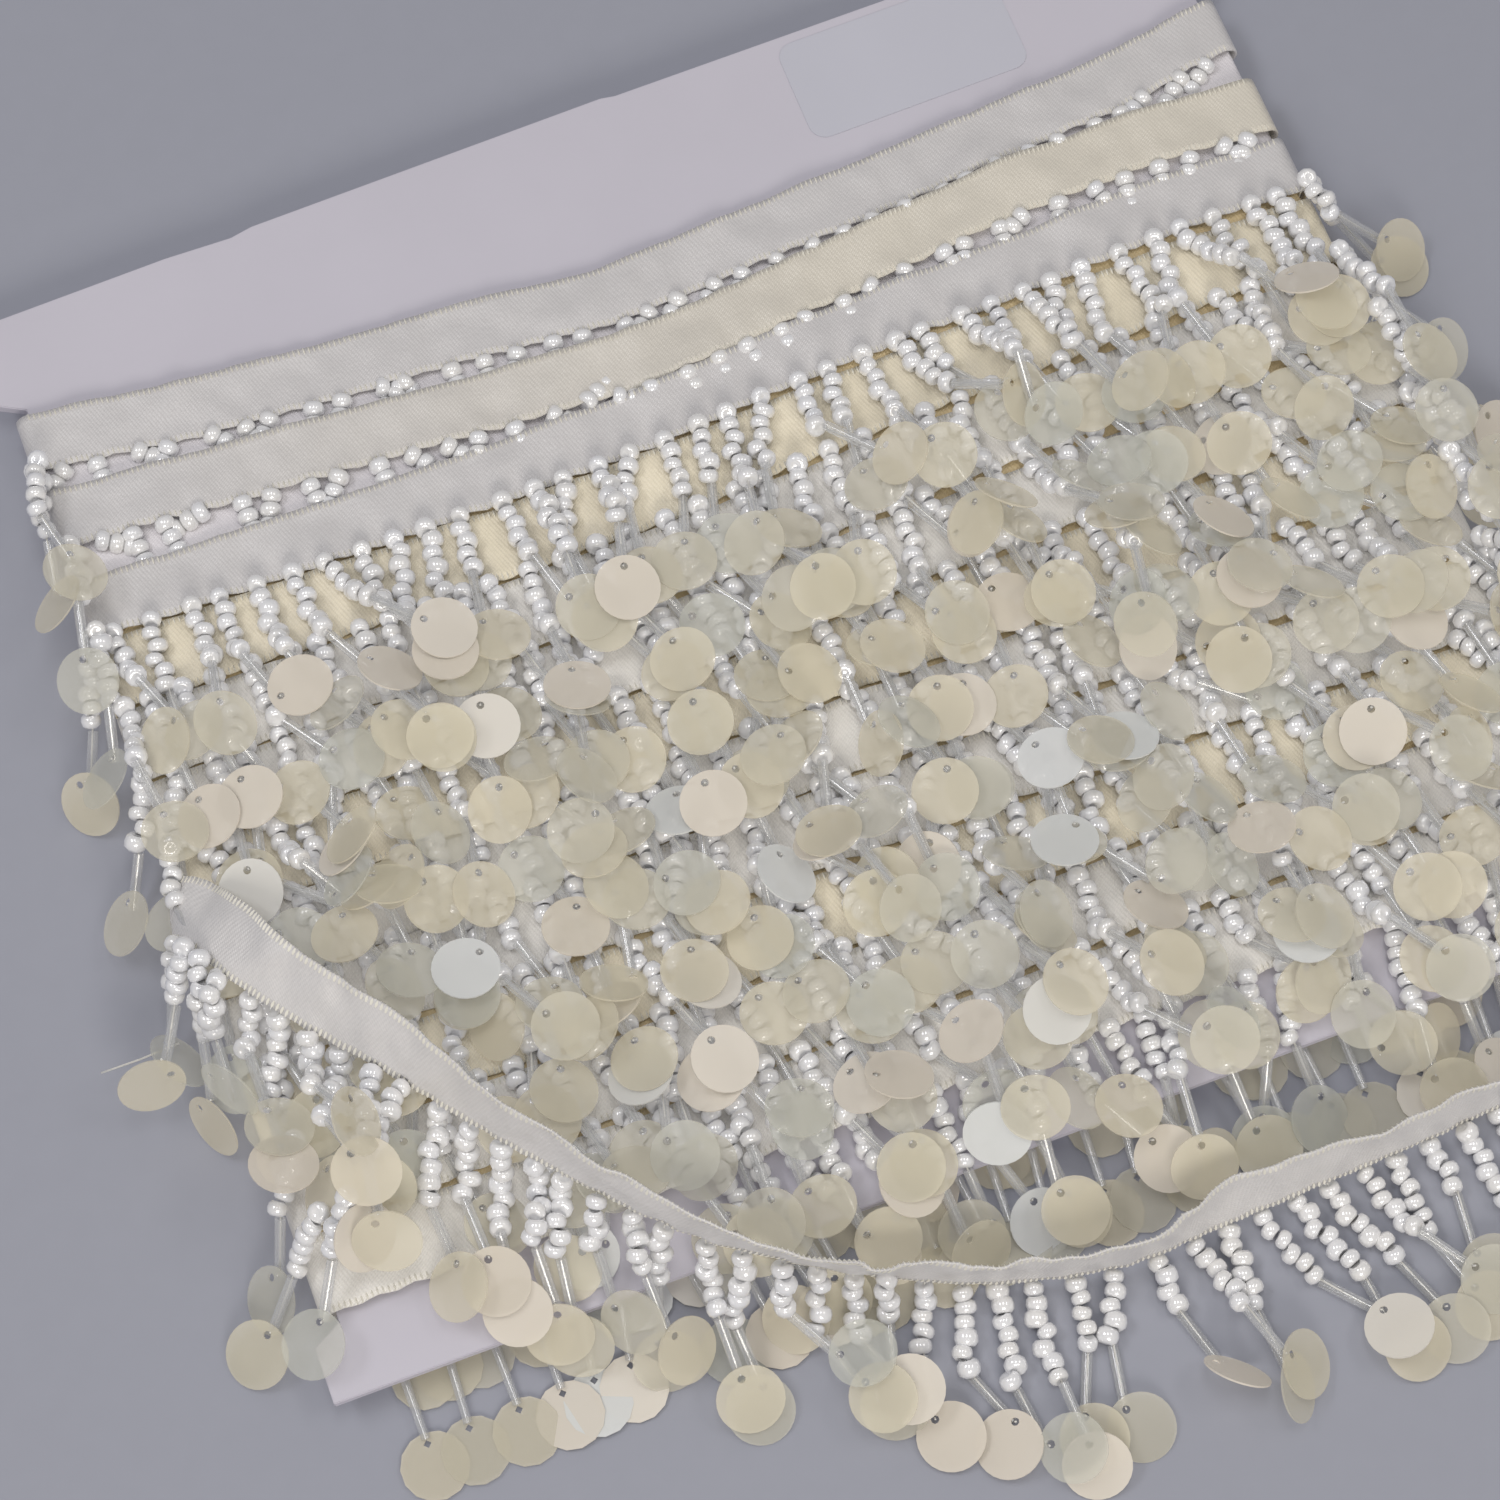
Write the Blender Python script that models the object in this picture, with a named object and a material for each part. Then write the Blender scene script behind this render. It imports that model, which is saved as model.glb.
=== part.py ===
"""Beaded fringe trim, wound on a reel card, its loose end swagged across the front.

The card lies on its back. X runs along the ribbon turns, Y up the card from its foot to its
head, Z out of its face. Sizes below are millimetres in the card's own frame, whose origin is
the middle of the card on the floor. Each mesh is scaled to metres as it is added, and an
empty that carries every piece puts the origin under the middle of the whole part's box.
"""

import math

import bmesh
import bpy
import numpy as np
from mathutils import Vector

MM = 0.001
GAP = 0.3

# Reel card, a flat board with a notch at each end of its waist
CARD_HALF_WIDTH = 83.0
WAIST_HALF_WIDTH = 79.5
CARD_BACK = 4.0
CARD_THICKNESS = 1.5
CARD_FRONT = CARD_BACK + CARD_THICKNESS
HEAD_LEFT = 72.4
HEAD_RIGHT = 77.8
FOOT = -71.8
HEAD_NOTCH_LEFT = 59.3
HEAD_NOTCH_RIGHT = 64.5
FOOT_NOTCH = -63.1
NOTCH_SLANT = 1.9
CARD_CORNER_RADIUS = 1.2
CARD_CORNER_STEPS = 3

# Ribbon turns, side by side from the head of the card to its foot
TURNS = 12
TURN_PITCH = 10.05
RIBBON_WIDTH = 8.0
FIRST_TURN_TOP = 56.3
TURN_CROWN = 6.9
TURN_GROOVE = 6.5
TURN_SHOULDER = 1.3
SIDE_BULGE = 1.8
SIDE_GROOVE = 1.4
SIDE_HEIGHT = 3.4
SLOT_REACH = 100.0
TURN_COLUMNS = (-79.5, -70.0, -52.0, -34.0, -16.0, 2.0, 20.0, 38.0, 56.0, 70.0, 79.5)

# How far the first turns stray from straight: x, then how far up turns 1, 2 and 3 lie there.
# The turns below them straighten out, each by an equal step
STRAYS = (
    (-79.5, 1.7, 0.4, -2.6),
    (-62.0, -0.4, -0.7, -2.8),
    (-44.0, -1.7, -1.8, -3.0),
    (-26.0, -2.5, -3.0, -2.8),
    (-8.0, -4.2, -4.0, -2.2),
    (10.0, -2.8, -2.4, -0.4),
    (28.0, -1.5, 0.0, 0.7),
    (46.0, 0.3, 1.9, 1.4),
    (62.0, 1.6, 2.6, 2.6),
    (79.5, 4.8, 1.8, 2.4),
)
STRAYS_LISTED = 3
STRAIGHT_TURN = 9

# One strand of fringe: seed beads, a bugle and a round paillette, seen from a step away.
# The columns are distance along it, half width, thickness and lift off its base
STRAND = (
    (8.2, 1.0, 1.4, 1.6),
    (16.8, 0.6, 0.8, 3.1),
    (21.4, 3.1, 0.7, 4.2),
    (26.4, 1.0, 0.7, 4.2),
)
ROOT_HALF_WIDTH = 0.9
STRIP_DEPTH = 1.1
STRIP_HEIGHT = 1.2
STRIP_BACK = TURN_CROWN + GAP

# Fringe rows on the front of the card. The columns of the hang are x and bearing
FIRST_FRINGED_TURN = 3
STRANDS_A_ROW = 20
STRAND_PITCH = 7.85
ROW_SHIFTS = 3
FIRST_STRAND = -76.0
HANG = ((-80.0, -87.0), (-30.0, -90.0), (20.0, -88.0), (55.0, -80.0), (80.0, -73.0))

# The lowest two rows hang past the foot of the card, so their strands bend down. The loose
# end covers them up to an x, and they have no strands under it
LAST_BUT_ONE_LIFTS = (1.6, 3.1, 3.6, 2.4)
COVERED_TO = {TURNS - 1: -22.0, TURNS: -14.0}

# The last row's strand: distance past the foot, half width, thickness and height
FOOT_ROW = (
    (1.2, 1.2, 2.2, 6.6),
    (3.6, 0.8, 1.3, 2.6),
    (6.0, 0.9, 0.9, 0.0),
    (8.8, 3.2, 0.8, 0.0),
    (12.0, 1.1, 0.8, 0.0),
)

# Strands over the sides of the winding, lying on the floor beside it. The columns are
# distance along, half width, thickness and height
SIDE_STRAND = (
    (7.0, 1.2, 2.2, 0.0),
    (14.8, 0.7, 1.2, 0.0),
    (19.0, 3.2, 0.8, 0.0),
    (23.4, 1.1, 0.8, 0.0),
)
SIDE_STRIP_BASE = 1.0
SIDE_STRIP_HEIGHT = 1.6
SIDE_TURN_OUT = 2.2
SIDE_TURN_DOWN = 1.8

# The side, first strand's y, count, pitch and bearing
SIDES = (
    ("left", 54.0, 3, 18.0, -104.5),
    ("right", 58.0, 6, 20.0, -75.0),
)

# Loose end: x, y and z of its fringed edge, and the bearing and lean of its width from there
LOOSE = (
    (-84.2, -20.5, 1.6, 90.0, 0.0),
    (-84.6, -20.6, 6.0, 90.0, 0.0),
    (-84.0, -20.8, 11.2, 84.0, 4.0),
    (-80.6, -21.6, 14.3, 62.0, 12.0),
    (-74.0, -29.5, 14.7, 44.0, 22.0),
    (-65.4, -39.3, 14.7, 42.0, 46.0),
    (-55.8, -51.6, 14.7, 38.0, 80.0),
    (-45.0, -63.8, 14.9, 45.0, 89.0),
    (-37.8, -71.0, 14.2, 55.0, 94.0),
    (-31.4, -76.2, 12.2, 60.0, 98.0),
    (-24.6, -80.4, 7.6, 68.0, 99.0),
    (-17.0, -83.9, 4.4, 76.0, 98.0),
    (-7.0, -86.2, 2.8, 82.0, 97.0),
    (7.0, -88.6, 2.7, 90.0, 92.0),
    (21.0, -88.8, 2.7, 92.0, 72.0),
    (37.5, -87.6, 2.7, 92.0, 83.0),
    (54.0, -86.0, 2.7, 95.0, 84.0),
    (70.0, -84.0, 2.7, 96.0, 82.0),
)
LOOSE_THICKNESS = 1.0
LOOSE_STEP = 4.0
LOOSE_STRAND_PITCH = 7.4
LOOSE_FIRST_STRAND = 24.0

# Stretches of the loose end's fringe, each on a strip of its own: its name, and its strands
LOOSE_RUNS = (("loose_fringe_left", 8), ("loose_fringe_bend", 6), ("loose_fringe_right", 9))

# The bearing of the loose end's strands at x
LOOSE_HANG = (
    (-80.0, -124.0),
    (-62.0, -118.0),
    (-45.0, -110.0),
    (-10.0, -104.0),
    (6.0, -92.0),
    (20.0, -78.0),
    (70.0, -80.0),
)

# The loose end's strand: distance along it, half width and thickness
LOOSE_STRAND = (
    (4.5, 1.2, 2.2),
    (9.0, 1.2, 2.2),
    (13.2, 0.7, 1.2),
    (17.5, 0.7, 1.2),
    (22.0, 3.0, 0.8),
    (26.5, 1.1, 0.8),
)
STEEPEST_DROP = 0.9
DROP_PASSES = 4
LOOK_AHEAD = 1.0
FLOOR_CLEARANCE = 0.1

# The rows of fringe as a pile that the loose strands lie on, and how it falls to the floor
PILE_TOP = 12.5
PILE_LEFT = -83.0
PILE_FOOT = -74.0
PILE_FALL = 5.0

# Each finish's colour and roughness
FINISHES = {
    "card": ((0.72, 0.70, 0.74), 0.75),
    "ribbon": ((0.80, 0.79, 0.76), 0.45),
    "fringe": ((0.74, 0.73, 0.66), 0.35),
}


def read(table, x):
    """The value at x in a table of x and value, straight between its rows."""
    places, values = zip(*table)
    return float(np.interp(x, places, values))


def material(name, finish):
    """A node's own material, in one of the part's finishes."""
    colour, roughness = FINISHES[finish]
    made = bpy.data.materials.new(f"{name}_{finish}")
    made.use_nodes = True
    shader = made.node_tree.nodes["Principled BSDF"]
    shader.inputs["Base Color"].default_value = (*colour, 1.0)
    shader.inputs["Roughness"].default_value = roughness
    return made


def add_object(name, bm, finish=None):
    """The mesh, in metres, as a named object with its own material. A cutter has none."""
    bmesh.ops.recalc_face_normals(bm, faces=bm.faces)
    bmesh.ops.scale(bm, vec=(MM, MM, MM), verts=bm.verts)
    mesh = bpy.data.meshes.new(name)
    bm.to_mesh(mesh)
    bm.free()
    if finish:
        mesh.materials.append(material(name, finish))
    made = bpy.data.objects.new(name, mesh)
    bpy.context.scene.collection.objects.link(made)
    return made


def skin(bm, rings, cap_ends=True):
    """Faces between rings of vertices, each a closed loop, and over the two ends."""
    for here, there in zip(rings, rings[1:]):
        for i, vertex in enumerate(here):
            after = (i + 1) % len(here)
            bm.faces.new((vertex, here[after], there[after], there[i]))
    if cap_ends:
        bm.faces.new(rings[0])
        bm.faces.new(rings[-1])


def turn_top(turn, x):
    """The upper edge of a turn of ribbon at x."""
    listed = min(turn, STRAYS_LISTED)
    share = min(1.0, (STRAIGHT_TURN - turn) / (STRAIGHT_TURN - STRAYS_LISTED))
    stray = read([(row[0], row[listed]) for row in STRAYS], x) * max(0.0, share)
    return FIRST_TURN_TOP - TURN_PITCH * (turn - 1) + stray


def turn_foot(turn, x):
    return turn_top(turn, x) - RIBBON_WIDTH


def card():
    """The board: its outline drawn once round, pulled up to its thickness, its corners rounded."""
    wide, waist = CARD_HALF_WIDTH, WAIST_HALF_WIDTH
    outline = (
        (-wide, HEAD_LEFT),
        (-wide, HEAD_NOTCH_LEFT + NOTCH_SLANT),
        (-waist, HEAD_NOTCH_LEFT),
        (-waist, FOOT_NOTCH),
        (-wide, FOOT_NOTCH - NOTCH_SLANT),
        (-wide, FOOT),
        (wide, FOOT),
        (wide, FOOT_NOTCH - NOTCH_SLANT),
        (waist, FOOT_NOTCH),
        (waist, HEAD_NOTCH_RIGHT),
        (wide, HEAD_NOTCH_RIGHT + NOTCH_SLANT),
        (wide, HEAD_RIGHT),
    )
    bm = bmesh.new()
    back = bm.faces.new([bm.verts.new((x, y, CARD_BACK)) for x, y in outline])
    pulled = bmesh.ops.extrude_face_region(bm, geom=[back])["geom"]
    for item in pulled:
        if isinstance(item, bmesh.types.BMVert):
            item.co.z = CARD_FRONT
    uprights = [
        edge
        for edge in bm.edges
        if abs(edge.verts[0].co.z - edge.verts[1].co.z) > CARD_THICKNESS / 2
        and abs(edge.verts[0].co.x) > waist + GAP
    ]
    bmesh.ops.bevel(
        bm,
        geom=uprights,
        offset=CARD_CORNER_RADIUS,
        segments=CARD_CORNER_STEPS,
        affect="EDGES",
    )
    return add_object("card", bm, "card")


def turn_stations():
    """(turn, how far down its width, height of its face, bulge at its sides) for each ring."""
    for turn in range(1, TURNS + 1):
        yield turn, 0.0, TURN_GROOVE, SIDE_GROOVE
        yield turn, TURN_SHOULDER, TURN_CROWN, SIDE_BULGE
        yield turn, RIBBON_WIDTH - TURN_SHOULDER, TURN_CROWN, SIDE_BULGE
    yield TURNS, RIBBON_WIDTH, TURN_GROOVE, SIDE_GROOVE


def wound_ribbon():
    """All the turns as one flattened tube round the card, ribbed across, with a slot for it."""
    bm = bmesh.new()
    rings = []
    for turn, down, height, bulge in turn_stations():
        front = [bm.verts.new((x, turn_top(turn, x) - down, height)) for x in TURN_COLUMNS]
        back = [bm.verts.new((x, turn_top(turn, x) - down, 0.0)) for x in TURN_COLUMNS]
        side = WAIST_HALF_WIDTH + bulge
        left = bm.verts.new((-side, turn_top(turn, -side) - down, SIDE_HEIGHT))
        right = bm.verts.new((side, turn_top(turn, side) - down, SIDE_HEIGHT))
        rings.append((left, front, right, back))
    loops = [[left, *front, right, *reversed(back)] for left, front, right, back in rings]
    skin(bm, loops, cap_ends=False)
    for left, front, right, back in (rings[0], rings[-1]):
        for i in range(len(front) - 1):
            bm.faces.new((front[i], front[i + 1], back[i + 1], back[i]))
        bm.faces.new((left, front[0], back[0]))
        bm.faces.new((right, front[-1], back[-1]))
    made = add_object("wound_ribbon", bm, "ribbon")
    cut = made.modifiers.new("Card slot", "BOOLEAN")
    cut.object = card_slot()
    cut.solver = "EXACT"
    return made


def card_slot():
    """The cutter for the slot: the card's waist, larger by the gap on each side."""
    bm = bmesh.new()
    bmesh.ops.create_cube(bm, size=1.0)
    width = 2 * (WAIST_HALF_WIDTH + GAP)
    height = CARD_THICKNESS + 2 * GAP
    bmesh.ops.scale(bm, vec=(width, 2 * SLOT_REACH, height), verts=bm.verts)
    middle = (CARD_BACK + CARD_FRONT) / 2
    bmesh.ops.translate(bm, vec=(0.0, 0.0, middle), verts=bm.verts)
    cutter = add_object("card_slot", bm)
    cutter.hide_render = True
    cutter.display_type = "WIRE"
    return cutter


def level_ring(bm, centre, bearing, half_width, thickness):
    """Four corners across a strand that runs on a bearing, its back level with the floor."""
    angle = math.radians(bearing)
    across = Vector((-math.sin(angle), math.cos(angle), 0.0)) * half_width
    top = Vector((0.0, 0.0, thickness))
    corners = (centre - across, centre + across, centre + across + top, centre - across + top)
    return [bm.verts.new(corner) for corner in corners]


def fringe(name, stations, strands):
    """A narrow strip with strands fused to it, as one closed mesh.

    stations holds, for each point along the strip, its four corners: near the strands low and
    high, then far from them high and low. strands maps a station's number to the rings of the
    strand that grows between it and the next.
    """
    bm = bmesh.new()
    rows = [[bm.verts.new(corner) for corner in corners] for corners in stations]
    for number, (here, there) in enumerate(zip(rows, rows[1:])):
        for i in range(1, 4):
            after = (i + 1) % 4
            bm.faces.new((here[i], here[after], there[after], there[i]))
        root = [here[0], there[0], there[1], here[1]]
        if number not in strands:
            bm.faces.new(root)
            continue
        rings = [root]
        for centre, bearing, half_width, thickness in strands[number]:
            rings.append(level_ring(bm, centre, bearing, half_width, thickness))
        for low, high in zip(rings, rings[1:]):
            for i in range(4):
                after = (i + 1) % 4
                bm.faces.new((low[i], low[after], high[after], high[i]))
        bm.faces.new(rings[-1])
    bm.faces.new(rows[0])
    bm.faces.new(rows[-1])
    return add_object(name, bm, "fringe")


def strand_rings(root, bearing, base, table):
    """Rings of one strand from its table of along, half width, thickness and lift over base."""
    angle = math.radians(bearing)
    heading = Vector((math.cos(angle), math.sin(angle), 0.0))
    rings = []
    for along, half_width, thickness, lift in table:
        centre = root + heading * along
        centre.z = base + lift
        rings.append((centre, bearing, half_width, thickness))
    return rings


def row_table(turn, root):
    """The strand's shape on this row: bent to the floor on the last, drooping on the one above."""
    if turn == TURNS:
        to_foot = root.y - FOOT
        return [(to_foot + row[0], *row[1:]) for row in FOOT_ROW], 0.0
    if turn == TURNS - 1:
        return [(*row[:3], lift) for row, lift in zip(STRAND, LAST_BUT_ONE_LIFTS)], STRIP_BACK
    return STRAND, STRIP_BACK


def row_strand_places(turn):
    shift = STRAND_PITCH * (turn % ROW_SHIFTS) / ROW_SHIFTS
    start = COVERED_TO.get(turn, FIRST_STRAND)
    for i in range(STRANDS_A_ROW):
        x = FIRST_STRAND + shift + STRAND_PITCH * i
        if start <= x < WAIST_HALF_WIDTH - ROOT_HALF_WIDTH:
            yield x


def fringe_row(turn):
    """The strands of one turn, on a strip along its lower edge."""
    stations, strands = [], {}

    def station(x):
        low = turn_foot(turn, x)
        high = low + STRIP_DEPTH
        top = STRIP_BACK + STRIP_HEIGHT
        corners = ((low, STRIP_BACK), (low, top), (high, top), (high, STRIP_BACK))
        stations.append([Vector((x, y, z)) for y, z in corners])

    for x in row_strand_places(turn):
        station(x - ROOT_HALF_WIDTH)
        root = Vector((x, turn_foot(turn, x), STRIP_BACK))
        bearing = read(HANG, x)
        table, base = row_table(turn, root)
        strands[len(stations) - 1] = strand_rings(root, bearing, base, table)
        station(x + ROOT_HALF_WIDTH)
    return fringe(f"fringe_row_{turn:02d}", stations, strands)


def side_fringe(side, first_y, count, pitch, bearing):
    """Strands that lie on the floor beside the winding, on a strip along its side."""
    out = -1.0 if side == "left" else 1.0
    corner_bearing = -90.0 + out * 45.0
    near = out * (WAIST_HALF_WIDTH + SIDE_BULGE + GAP)
    far = near + out * STRIP_DEPTH
    stations, strands = [], {}

    def station(y):
        top = SIDE_STRIP_BASE + SIDE_STRIP_HEIGHT
        corners = ((far, SIDE_STRIP_BASE), (far, top), (near, top), (near, SIDE_STRIP_BASE))
        stations.append([Vector((x, y, z)) for x, z in corners])

    places = [first_y - pitch * i for i in range(count)]
    if side == "right":
        places.reverse()
    for y in places:
        station(y - out * ROOT_HALF_WIDTH)
        corner = Vector((far + out * SIDE_TURN_OUT, y - SIDE_TURN_DOWN, 0.0))
        first = (corner, corner_bearing, ROOT_HALF_WIDTH, SIDE_STRIP_HEIGHT)
        strands[len(stations) - 1] = [first, *strand_rings(corner, bearing, 0.0, SIDE_STRAND)]
        station(y + out * ROOT_HALF_WIDTH)
    return fringe(f"fringe_{side}_side", stations, strands)


def smooth_through(points, step):
    """Points a step apart on a smooth curve through the table's rows, all columns alike."""
    rows = [np.array(row, dtype=float) for row in points]
    rows = [2 * rows[0] - rows[1], *rows, 2 * rows[-1] - rows[-2]]
    found = []
    for before, here, there, after in zip(rows, rows[1:], rows[2:], rows[3:]):
        pieces = max(1, round(float(np.linalg.norm(there[:3] - here[:3])) / step))
        for i in range(pieces):
            t = i / pieces
            found.append(
                0.5
                * (
                    2 * here
                    + (there - before) * t
                    + (2 * before - 5 * here + 4 * there - after) * t**2
                    + (3 * here - before - 3 * there + after) * t**3
                )
            )
    return [*found, rows[-2]]


def width_way(bearing, lean):
    """Which way the loose ribbon's width points: its bearing on the floor, and its lean up."""
    turn, rise = math.radians(bearing), math.radians(lean)
    return Vector(
        (math.cos(turn) * math.cos(rise), math.sin(turn) * math.cos(rise), math.sin(rise))
    )


def loose_frames():
    """(fringed edge, width, thickness, way along) at each step of the loose end."""
    rows = smooth_through(LOOSE, LOOSE_STEP)
    edges = [Vector(row[:3]) for row in rows]
    frames = []
    for i, row in enumerate(rows):
        along = (edges[min(i + 1, len(edges) - 1)] - edges[max(i - 1, 0)]).normalized()
        width = width_way(row[3], row[4])
        width = (width - along * width.dot(along)).normalized()
        frames.append((edges[i], width, width.cross(along).normalized(), along))
    return frames


def loose_ribbon():
    """The loose end of the ribbon as a thin sheet that turns on its edge."""
    bm = bmesh.new()
    rings = []
    for edge, width, face, _ in loose_frames():
        half = face * (LOOSE_THICKNESS / 2)
        wide = edge + width * RIBBON_WIDTH
        rings.append([bm.verts.new(p) for p in (edge - half, edge + half, wide + half, wide - half)])
    skin(bm, rings)
    return add_object("loose_ribbon", bm, "ribbon")


def pile_height(x, y):
    """The height of what a loose strand lies on: the rows of fringe, or the floor past them."""
    outside = max(PILE_LEFT - x, PILE_FOOT - y, 0.0) / PILE_FALL
    t = min(outside, 1.0)
    return PILE_TOP * (1.0 - t * t * (3.0 - 2.0 * t))


def loose_strand(root):
    """Rings of a strand that follows what it lies on, its length kept as it drops."""
    bearing = read(LOOSE_HANG, root.x)
    angle = math.radians(bearing)
    heading = Vector((math.cos(angle), math.sin(angle), 0.0))
    centre = root.copy()
    before = 0.0
    rings = []
    for along, half_width, thickness in LOOSE_STRAND:
        length = along - before
        forward = length
        for _ in range(DROP_PASSES):
            point = centre + heading * forward
            height = min(root.z, pile_height(point.x, point.y))
            drop = min(abs(height - centre.z), length * STEEPEST_DROP)
            forward = math.sqrt(length**2 - drop**2)
        point.z = height
        rings.append((point, bearing, half_width, thickness))
        centre, before = point, along
    return rings


def loose_strip():
    """A function that gives the strip's four corners at a distance along the loose end."""
    frames = loose_frames()
    reach = [0.0]
    for (here, *_), (there, *_) in zip(frames, frames[1:]):
        reach.append(reach[-1] + (there - here).length)
    points = np.array([[*edge, *width] for edge, width, _, _ in frames])

    def station(distance):
        row = [float(np.interp(distance, reach, points[:, i])) for i in range(6)]
        return Vector(row[:3]), Vector(row[3:]).normalized()

    def corners(distance):
        edge, width = station(distance)
        ahead, _ = station(distance + LOOK_AHEAD)
        along = Vector((ahead.x - edge.x, ahead.y - edge.y, 0.0)).normalized()
        outward = Vector((along.y, -along.x, 0.0)) * (STRIP_DEPTH / 2)
        top = edge - width * (GAP + LOOSE_THICKNESS / 2)
        top.z = min(top.z, edge.z - GAP - LOOSE_THICKNESS / 2)
        low = top - Vector((0.0, 0.0, STRIP_HEIGHT))
        low.z = max(low.z, FLOOR_CLEARANCE)
        return [low + outward, top + outward, top - outward, low - outward]

    return corners


def loose_fringes():
    """The loose end's strands, on strips along its fringed edge."""
    corners = loose_strip()
    distance = LOOSE_FIRST_STRAND
    made = []
    for name, count in LOOSE_RUNS:
        stations, strands = [], {}
        for _ in range(count):
            strands[len(stations)] = loose_strand(corners(distance)[0])
            stations.append(corners(distance - ROOT_HALF_WIDTH))
            stations.append(corners(distance + ROOT_HALF_WIDTH))
            distance += LOOSE_STRAND_PITCH
        made.append(fringe(name, stations, strands))
    return made


def settle(objects):
    """Carry every piece on an empty that puts the origin under the middle of their box."""
    points = [vertex.co for made in objects for vertex in made.data.vertices]
    low = [min(point[i] for point in points) for i in range(3)]
    high = [max(point[i] for point in points) for i in range(3)]
    whole = bpy.data.objects.new("whole_trim", None)
    whole.location = (-(low[0] + high[0]) / 2, -(low[1] + high[1]) / 2, -low[2])
    bpy.context.scene.collection.objects.link(whole)
    for made in [*objects, bpy.data.objects["card_slot"]]:
        made.parent = whole


def main():
    for old in list(bpy.data.objects):
        bpy.data.objects.remove(old, do_unlink=True)
    made = [card(), wound_ribbon()]
    for turn in range(FIRST_FRINGED_TURN, TURNS + 1):
        made.append(fringe_row(turn))
    for side in SIDES:
        made.append(side_fringe(*side))
    made.append(loose_ribbon())
    made.extend(loose_fringes())
    settle(made)


main()
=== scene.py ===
"""Beaded fringe trim on a reel card, dressed for a close look.

Every strand settles on what lies under it, strand after strand from the foot of the card up,
as the real trim was wound. Lengths are worked in millimetres on the card, whose middle is the
origin, with x along the ribbon turns, y towards the card's head and z out of its face. They
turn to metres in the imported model's frame as each mesh is made.
"""

import itertools
import math

import bmesh
import bpy
import numpy as np
from mathutils import Matrix, Vector, noise


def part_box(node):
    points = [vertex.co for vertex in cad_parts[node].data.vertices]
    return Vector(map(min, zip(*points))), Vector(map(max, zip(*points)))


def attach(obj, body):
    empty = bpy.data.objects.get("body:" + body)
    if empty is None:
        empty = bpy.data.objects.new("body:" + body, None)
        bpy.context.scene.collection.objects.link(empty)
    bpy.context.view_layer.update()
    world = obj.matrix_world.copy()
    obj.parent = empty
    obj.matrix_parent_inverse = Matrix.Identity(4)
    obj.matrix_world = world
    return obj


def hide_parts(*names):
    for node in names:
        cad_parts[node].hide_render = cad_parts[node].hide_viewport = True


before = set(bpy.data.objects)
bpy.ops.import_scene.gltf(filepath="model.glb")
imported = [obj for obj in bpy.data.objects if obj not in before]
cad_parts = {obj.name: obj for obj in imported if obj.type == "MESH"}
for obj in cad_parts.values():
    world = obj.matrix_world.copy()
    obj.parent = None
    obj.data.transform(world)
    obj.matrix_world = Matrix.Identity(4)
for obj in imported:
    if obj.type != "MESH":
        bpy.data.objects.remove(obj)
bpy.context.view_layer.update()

bl_info = {
    "name": "Beaded fringe trim",
    "version": (1, 0, 0),
    "blender": (4, 5, 0),
    "location": "3D View > Sidebar > Trim",
    "description": "Makes a satin ribbon with beaded strands, wound on a reel card",
    "category": "Object",
}

# A millimetre, in metres
MM = 0.001

# The card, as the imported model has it
HEAD_ABOVE_MIDDLE = 77.8
CARD_LOW, CARD_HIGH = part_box("card")
ORIGIN = Vector(((CARD_LOW.x + CARD_HIGH.x) / 2, CARD_HIGH.y - HEAD_ABOVE_MIDDLE * MM, 0.0))
CARD_HALF_WIDTH = 83.0
WAIST_HALF_WIDTH = 79.5
CARD_BACK = 4.0
CARD_FRONT = 5.5
CARD_FOOT = -71.8

# Ribbon turns, side by side from the head of the card to its foot
TURNS = 12
TURN_PITCH = 10.05
FIRST_TURN_TOP = 56.3
FIRST_FRINGED_TURN = 3
SIDE_BULGE = 1.7
BACK_OF_TURNS = 3.45

# How far the first turns stray from straight: x, then how far up turns 1, 2 and 3 lie there.
# The turns below them straighten out, each by an equal step
STRAYS = (
    (-79.5, 1.7, 0.4, -2.6),
    (-62.0, -0.4, -0.7, -2.8),
    (-44.0, -1.7, -1.8, -3.0),
    (-26.0, -2.5, -3.0, -2.8),
    (-8.0, -4.2, -4.0, -2.2),
    (10.0, -2.8, -2.4, -0.4),
    (28.0, -1.5, 0.0, 0.7),
    (46.0, 0.3, 1.9, 1.4),
    (62.0, 1.6, 2.6, 2.6),
    (79.5, 4.8, 1.8, 2.4),
)
STRAYS_LISTED = 3
STRAIGHT_TURN = 9

# The turns under the strands, by their colour. Both take paler copies of the white and cream satin
# than turns 1 to 3: painted light where the strands shade them
LOWER_WHITE = (5, 6, 8, 9, 11, 12)
LOWER_CREAM = (4, 7, 10)

# Height of each turn's face at the left and at the right end; those below lie at the last
TURN_HEIGHTS = ((6.6, 7.0), (7.5, 7.9), (7.9, 8.1), (7.6, 7.7), (7.2, 7.3), (6.9, 6.9))

# The bearing of the rows' strands at x, -90 being straight down the card
HANG = ((-80.0, -87.0), (-30.0, -90.0), (20.0, -88.0), (55.0, -80.0), (80.0, -73.0))

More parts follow.
